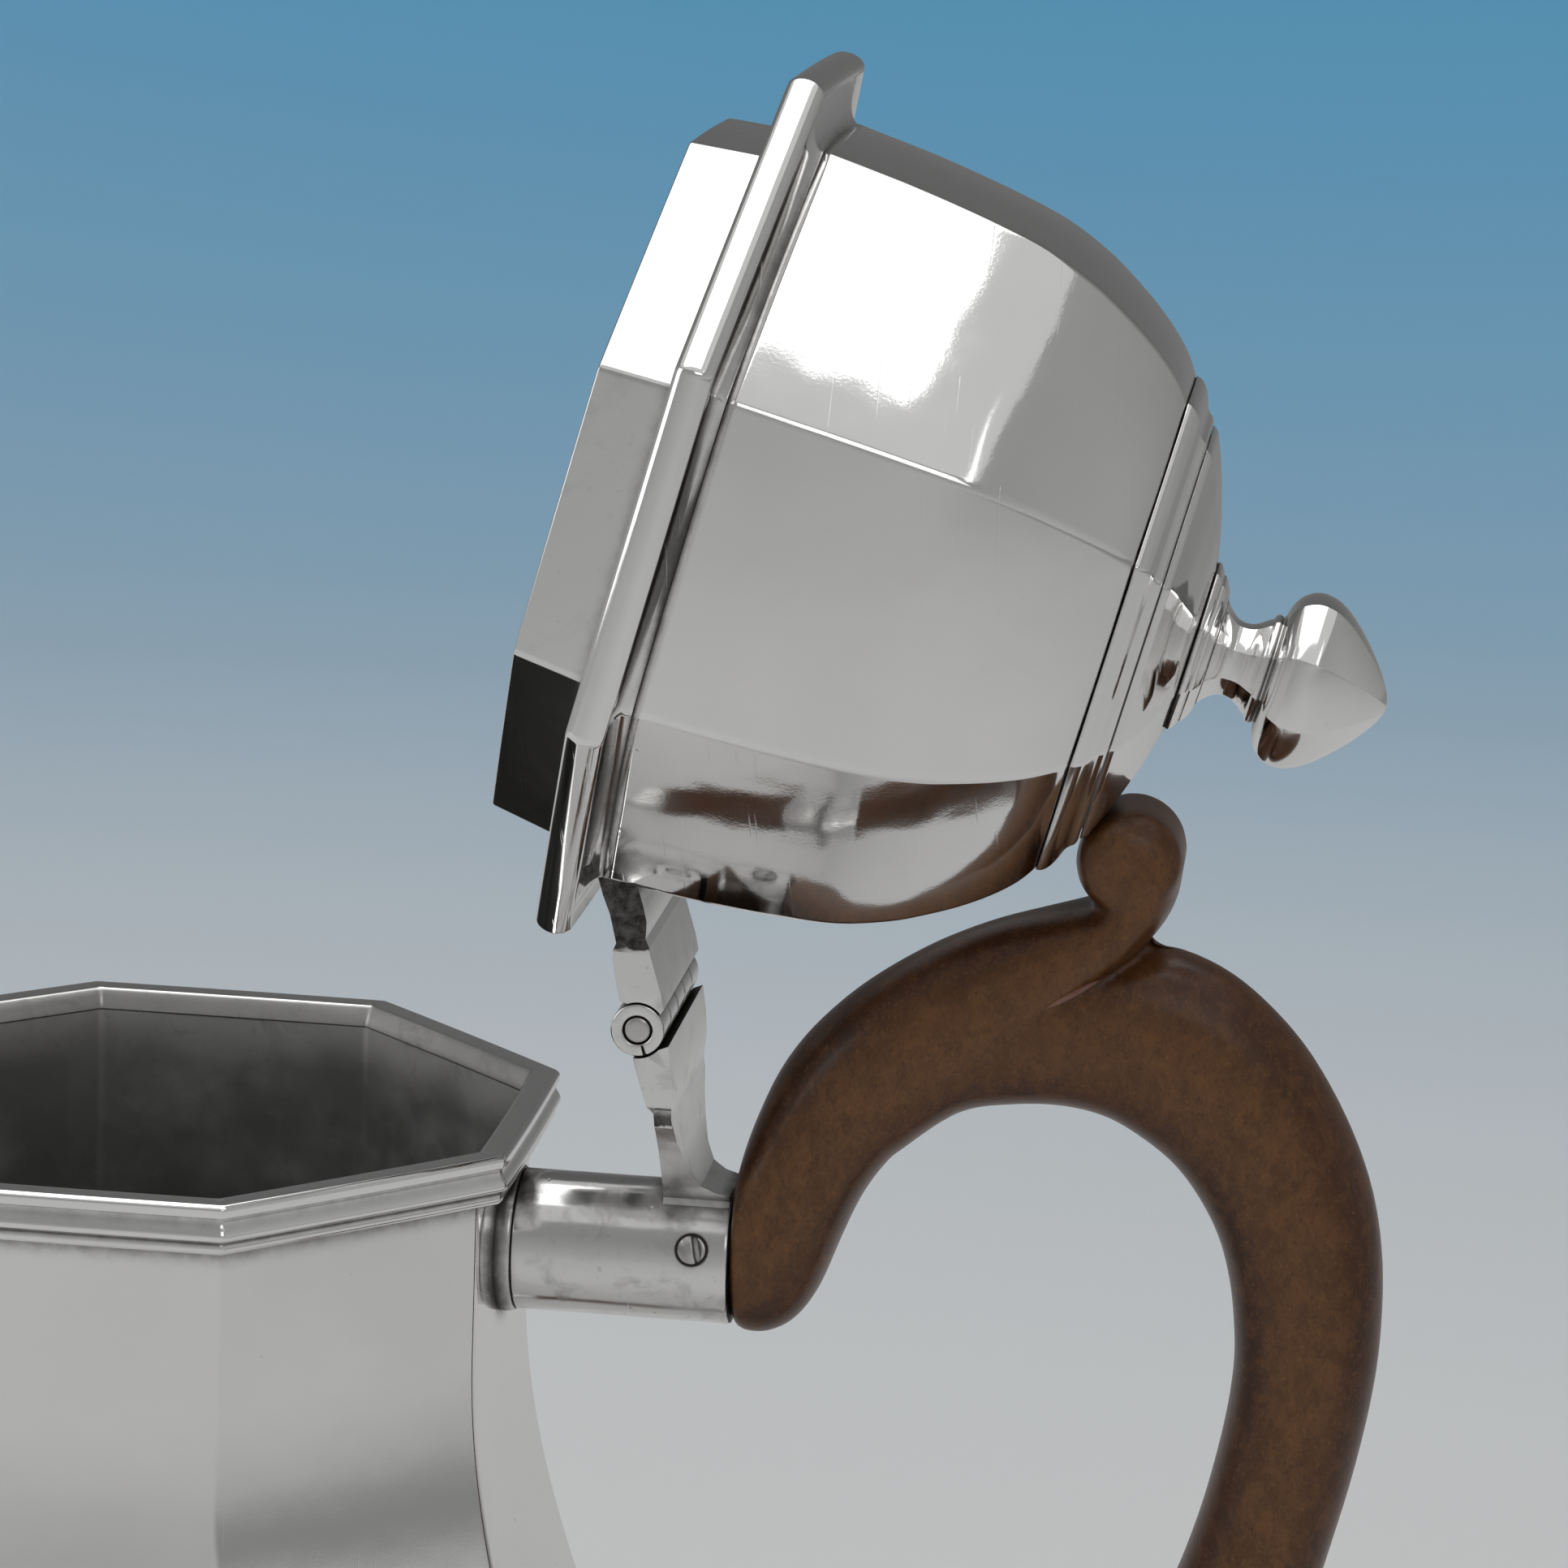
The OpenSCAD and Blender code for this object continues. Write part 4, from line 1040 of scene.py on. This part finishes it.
grip = [
    ((80.0, 15.0), (80.4, -1.2)), ((86.0, 19.0), (86.4, 3.5)), ((92.0, 21.4), (92.2, 4.8)),
    ((98.0, 22.9), (97.4, 5.0)), ((103.6, 23.0), (102.0, 4.1)), ((108.8, 22.2), (105.9, 2.0)),
    ((113.9, 20.1), (109.3, -0.6)), ((118.7, 16.4), (112.0, -4.0)), ((123.1, 11.5), (114.2, -8.0)),
    ((127.3, 4.5), (115.6, -12.6)), ((130.1, -2.5), (116.3, -17.0)), ((131.5, -9.7), (116.6, -21.0)),
    ((131.8, -17.5), (116.4, -25.0)), ((131.3, -24.4), (115.9, -29.0)), ((130.0, -32.4), (115.0, -34.0)),
    ((128.3, -40.0), (113.6, -40.0)), ((126.2, -48.0), (111.2, -47.5)), ((122.5, -57.0), (106.9, -57.0)),
    ((116.6, -67.0), (101.0, -68.0)), ((109.5, -77.0), (95.0, -78.5)), ((104.6, -84.0), (90.0, -86.5)),
    ((101.0, -92.0), (86.0, -92.0)),
]
heel = [
    ((72.6, -112.2), (72.6, -97.6)), ((75.5, -112.2), (75.5, -97.3)), ((79.5, -111.6), (79.0, -96.2)),
    ((84.0, -109.6), (83.0, -93.6)), ((89.0, -109.2), (87.6, -89.6)), ((94.5, -108.2), (91.6, -86.6)),
    ((99.0, -105.6), (95.6, -85.6)), ((101.9, -101.0), (99.4, -86.6)), ((103.0, -97.0), (101.6, -89.4)),
]


def sweepWood(pairs, width, count=44, steps=3):
    outer = smoothLine([p[0] for p in pairs], steps)
    inner = smoothLine([p[1] for p in pairs], steps)
    bm = bmesh.new()
    rings = []
    power = 2 / handle["squareness"]
    for i, (a, b) in enumerate(zip(outer, inner)):
        high = Vector((a[0], 0, a[1] + rimTop))
        low = Vector((b[0], 0, b[1] + rimTop))
        middle, reach = (high + low) / 2, (high - low) / 2
        w = width(i / (len(outer) - 1))

        def shape(turn):
            c, s = math.cos(turn), math.sin(turn)
            along = math.copysign(abs(c) ** power, c)
            across = math.copysign(abs(s) ** power, s)
            return middle + reach * along + Vector((0, w * across, 0))

        rings.append(ringOf(bm, count, shape))
    loft(bm, rings)
    bmesh.ops.recalc_face_normals(bm, faces=bm.faces)
    return bm


def buildHandle():
    w = handle["halfWidth"]
    parts = [
        sweepWood(tongue, lambda t: w if t < 0.75 else lerp(w, w - 0.5, (t - 0.75) / 0.25)),
        sweepWood(grip, lambda t: w - 0.25 - 0.35 * max(0, 1 - t / 0.3)),
        sweepWood(heel, lambda t: w if t < 0.75 else lerp(w, w * 0.55, ((t - 0.75) / 0.25) ** 2)),
    ]
    r = handle["scrollRadius"]
    roll = smoothLine([(0, -7.4), (3.0, -7.4), (4.2, -7.0), (5.0, -6.2), (5.45, -4.9), (r, -3.2), (r, 0)], 3)
    roll = roll + [(a, -b) for a, b in roll[::-1][1:]]
    x, z = handle["scrollAt"]
    parts.append(place(roundTurn(roll, 48), alongY, (x, 0, z)))
    stock = asObject("handleStock", joined(parts))
    remesh = stock.modifiers.new("remesh", "REMESH")
    remesh.mode = "VOXEL"
    remesh.voxel_size = handle["voxel"]
    carved = shapedBy(stock)
    discard(stock)
    rubDown(carved, 6, 0.5)
    carveEyes(carved)
    carveCut(carved)
    rubDown(carved, 2, 0.4)
    finishPiece("woodHandle", carved, "pot", [fruitwood], ["handle"], even=False)


def rubDown(bm, rounds, factor):
    for _ in range(rounds):
        bmesh.ops.smooth_vert(bm, verts=bm.verts, factor=factor, use_axis_x=True, use_axis_y=True,
                              use_axis_z=True)


def carveEyes(bm):
    # a flat eye on each end of the roll, with a fine step round it
    eyeX, eyeZ = handle["eyeAt"]
    rollX, rollZ = handle["scrollAt"]
    for v in bm.verts:
        if abs(v.co.y) < 4.5:
            continue
        away = math.hypot(v.co.x - eyeX, v.co.z - eyeZ)
        side = math.copysign(1, v.co.y)
        fromRoll = math.hypot(v.co.x - rollX, v.co.z - rollZ)
        if fromRoll > handle["scrollRadius"] + 0.6 or v.co.z < handle["eyeFrom"]:
            continue
        past = away - handle["eyeRadius"]
        face = handle["eyeFace"]
        if past >= 0:
            face = max(4.7, face - 0.16 * min(1, past / 0.4) - 0.18 * past ** 2)
        v.co.y = side * min(abs(v.co.y), face)


def carveCut(bm):
    line = [Vector(point) for point in handle["cut"]]
    for v in bm.verts:
        if not (92 < v.co.x < 110 and 190 < v.co.z < 207):
            continue
        here = Vector((v.co.x, v.co.z))
        best, share = 99, 0
        for k, (a, b) in enumerate(zip(line, line[1:])):
            run = b - a
            t = min(1, max(0, (here - a).dot(run) / run.length_squared))
            gap = (here - a - run * t).length
            if gap < best:
                best, share = gap, (k + t) / (len(line) - 1)
        # steep on the tongue's side, a long slope on the other
        near = line[0] + (line[-1] - line[0]) * share
        below = (here - near).dot(Vector((0.45, -0.89))) > 0
        depth = lerp(*handle["cutDepth"], share)
        width = lerp(*handle["cutWidth"], share) * (1.7 if below else 0.55)
        v.co.y -= math.copysign(depth * math.exp(-(best / width) ** 2), v.co.y)


buildHandle()
print("handle made")


studio = {
    "floorRadius": 1.15, "wallRadius": 2.3, "wallHeight": 2.6,
    # the dim grey serves the darker back wall in reflections and painted shade on the floor towards the right
    "paleGrey": (0.71, 0.71, 0.71), "dimAndShadeGrey": (0.28, 0.28, 0.28),
    "seenGrey": (0.76, 0.77, 0.77), "softBlue": (0.10, 0.515, 0.88),
    "air": (0.63, 0.63, 0.63, 1), "airStrength": 0.9,
}
# place, aim, width and height in metres, power in watts
softboxes = {
    "topSoftbox": ((0.02, 0.22, 1.5), (0.02, 0.22, 0), (1.28, 1.12), 6.6),
    "leftSoftbox": ((-1.35, -0.55, 0.75), (0.0, 0.0, 0.15), (0.8, 1.0), 3.2),
    "rightFill": ((1.1, -0.6, 1.4), (1.9, -0.2, 0.7), (0.6, 0.6), 1.3),
    "frontFill": ((0.75, -1.5, 1.2), (0.05, 0.0, 0.15), (1.0, 0.7), 2.0),
}
# angles in degrees, distances in metres, lens and film width in millimetres
view = {
    "turn": 6.51, "down": 12.35, "roll": 2.22, "distance": 0.53143,
    "target": (0.06651, 0, 0.21525), "lens": 117.2, "filmWidth": 36,
}


def buildStudio():
    # a round floor that curves up into a wall
    flat, wall = studio["floorRadius"], studio["wallRadius"]
    line = [(0, 0), (flat * 0.5, 0), (flat, 0)]
    for a in range(6, 91, 6):
        turn = math.radians(a)
        line.append((flat + (wall - flat) * math.sin(turn), (wall - flat) * (1 - math.cos(turn))))
    line.append((wall, studio["wallHeight"]))
    bm = spunLine(line, 72, False, 1e-5)
    bmesh.ops.recalc_face_normals(bm, faces=bm.faces)
    lowest = min(bm.faces, key=lambda f: f.calc_center_median().length)
    if lowest.normal.z < 0:
        bmesh.ops.reverse_faces(bm, faces=bm.faces)
    floor = asObject("studioFloor", bm)
    floor.data.shade_smooth()
    floor.data.materials.append(paperLook())


def paperLook():
    # pale grey paper that turns soft blue towards the back wall where the camera sees it; where the silver
    # mirrors it, it is darker towards the wall and carries painted shade on the floor towards the right
    look = bpy.data.materials.new("paperSweep")
    look.use_nodes = True
    tree = look.node_tree
    paper = tree.nodes["Principled BSDF"]
    paper.inputs["Roughness"].default_value = 0.9
    paper.inputs["Specular IOR Level"].default_value = 0.2
    place3d = tree.nodes.new("ShaderNodeTexCoord").outputs["Object"]
    axes = tree.nodes.new("ShaderNodeSeparateXYZ")
    tree.links.new(place3d, axes.inputs[0])
    towardsWall = spread(tree, axes.outputs["Y"], 0.25, 2.2)
    seen = blendColours(tree, towardsWall, studio["seenGrey"], studio["softBlue"])
    mirrored = blendColours(tree, towardsWall, studio["paleGrey"], studio["dimAndShadeGrey"])
    onFloor = spread(tree, axes.outputs["Z"], 0.02, 0.15, 0.75, 0.0)
    # painted shade: in reflections the floor darkens towards the right, standing in for the key light falling
    # off
    paintedShadeRight = mathNode(tree, "MULTIPLY", spread(tree, axes.outputs["X"], 0.3, 1.3), onFloor)
    mirrored = blendColours(tree, paintedShadeRight, mirrored, studio["dimAndShadeGrey"])
    lightPath = tree.nodes.new("ShaderNodeLightPath")
    colour = blendColours(tree, lightPath.outputs["Is Camera Ray"], mirrored, seen)
    tree.links.new(colour, paper.inputs["Base Color"])
    return look


def addSoftbox(name, at, aim, size, power):
    light = bpy.data.lights.new(name, "AREA")
    light.shape = "RECTANGLE"
    light.size, light.size_y = size
    light.energy = power
    lamp = bpy.data.objects.new(name, light)
    bpy.context.scene.collection.objects.link(lamp)
    lamp.location = at
    lamp.rotation_euler = (Vector(aim) - Vector(at)).to_track_quat("-Z", "Y").to_euler()
    lamp.visible_camera = False


def buildLights():
    for name, values in softboxes.items():
        addSoftbox(name, *values)
    world = bpy.data.worlds.new("studioAir")
    bpy.context.scene.world = world
    world.use_nodes = True
    air = world.node_tree.nodes["Background"]
    air.inputs["Color"].default_value = studio["air"]
    air.inputs["Strength"].default_value = studio["airStrength"]


def buildCamera():
    turn, down, roll = (math.radians(view[key]) for key in ("turn", "down", "roll"))
    back = Vector((math.sin(turn) * math.cos(down), -math.cos(turn) * math.cos(down), math.sin(down)))
    side = Vector((math.cos(turn), math.sin(turn), 0))
    up = back.cross(side)
    right = side * math.cos(roll) + up * math.sin(roll)
    upright = -side * math.sin(roll) + up * math.cos(roll)
    data = bpy.data.cameras.new("camera")
    data.sensor_width = view["filmWidth"]
    data.lens = view["lens"]
    data.clip_start = 0.01
    data.clip_end = 50
    camera = bpy.data.objects.new("camera", data)
    bpy.context.scene.collection.objects.link(camera)
    at = Matrix.Translation(Vector(view["target"]) + back * view["distance"])
    camera.matrix_world = at @ Matrix((right, upright, back)).transposed().to_4x4()
    bpy.context.scene.camera = camera


buildStudio()
buildLights()
buildCamera()
bpy.context.scene.view_settings.view_transform = "Standard"
print("studio made")
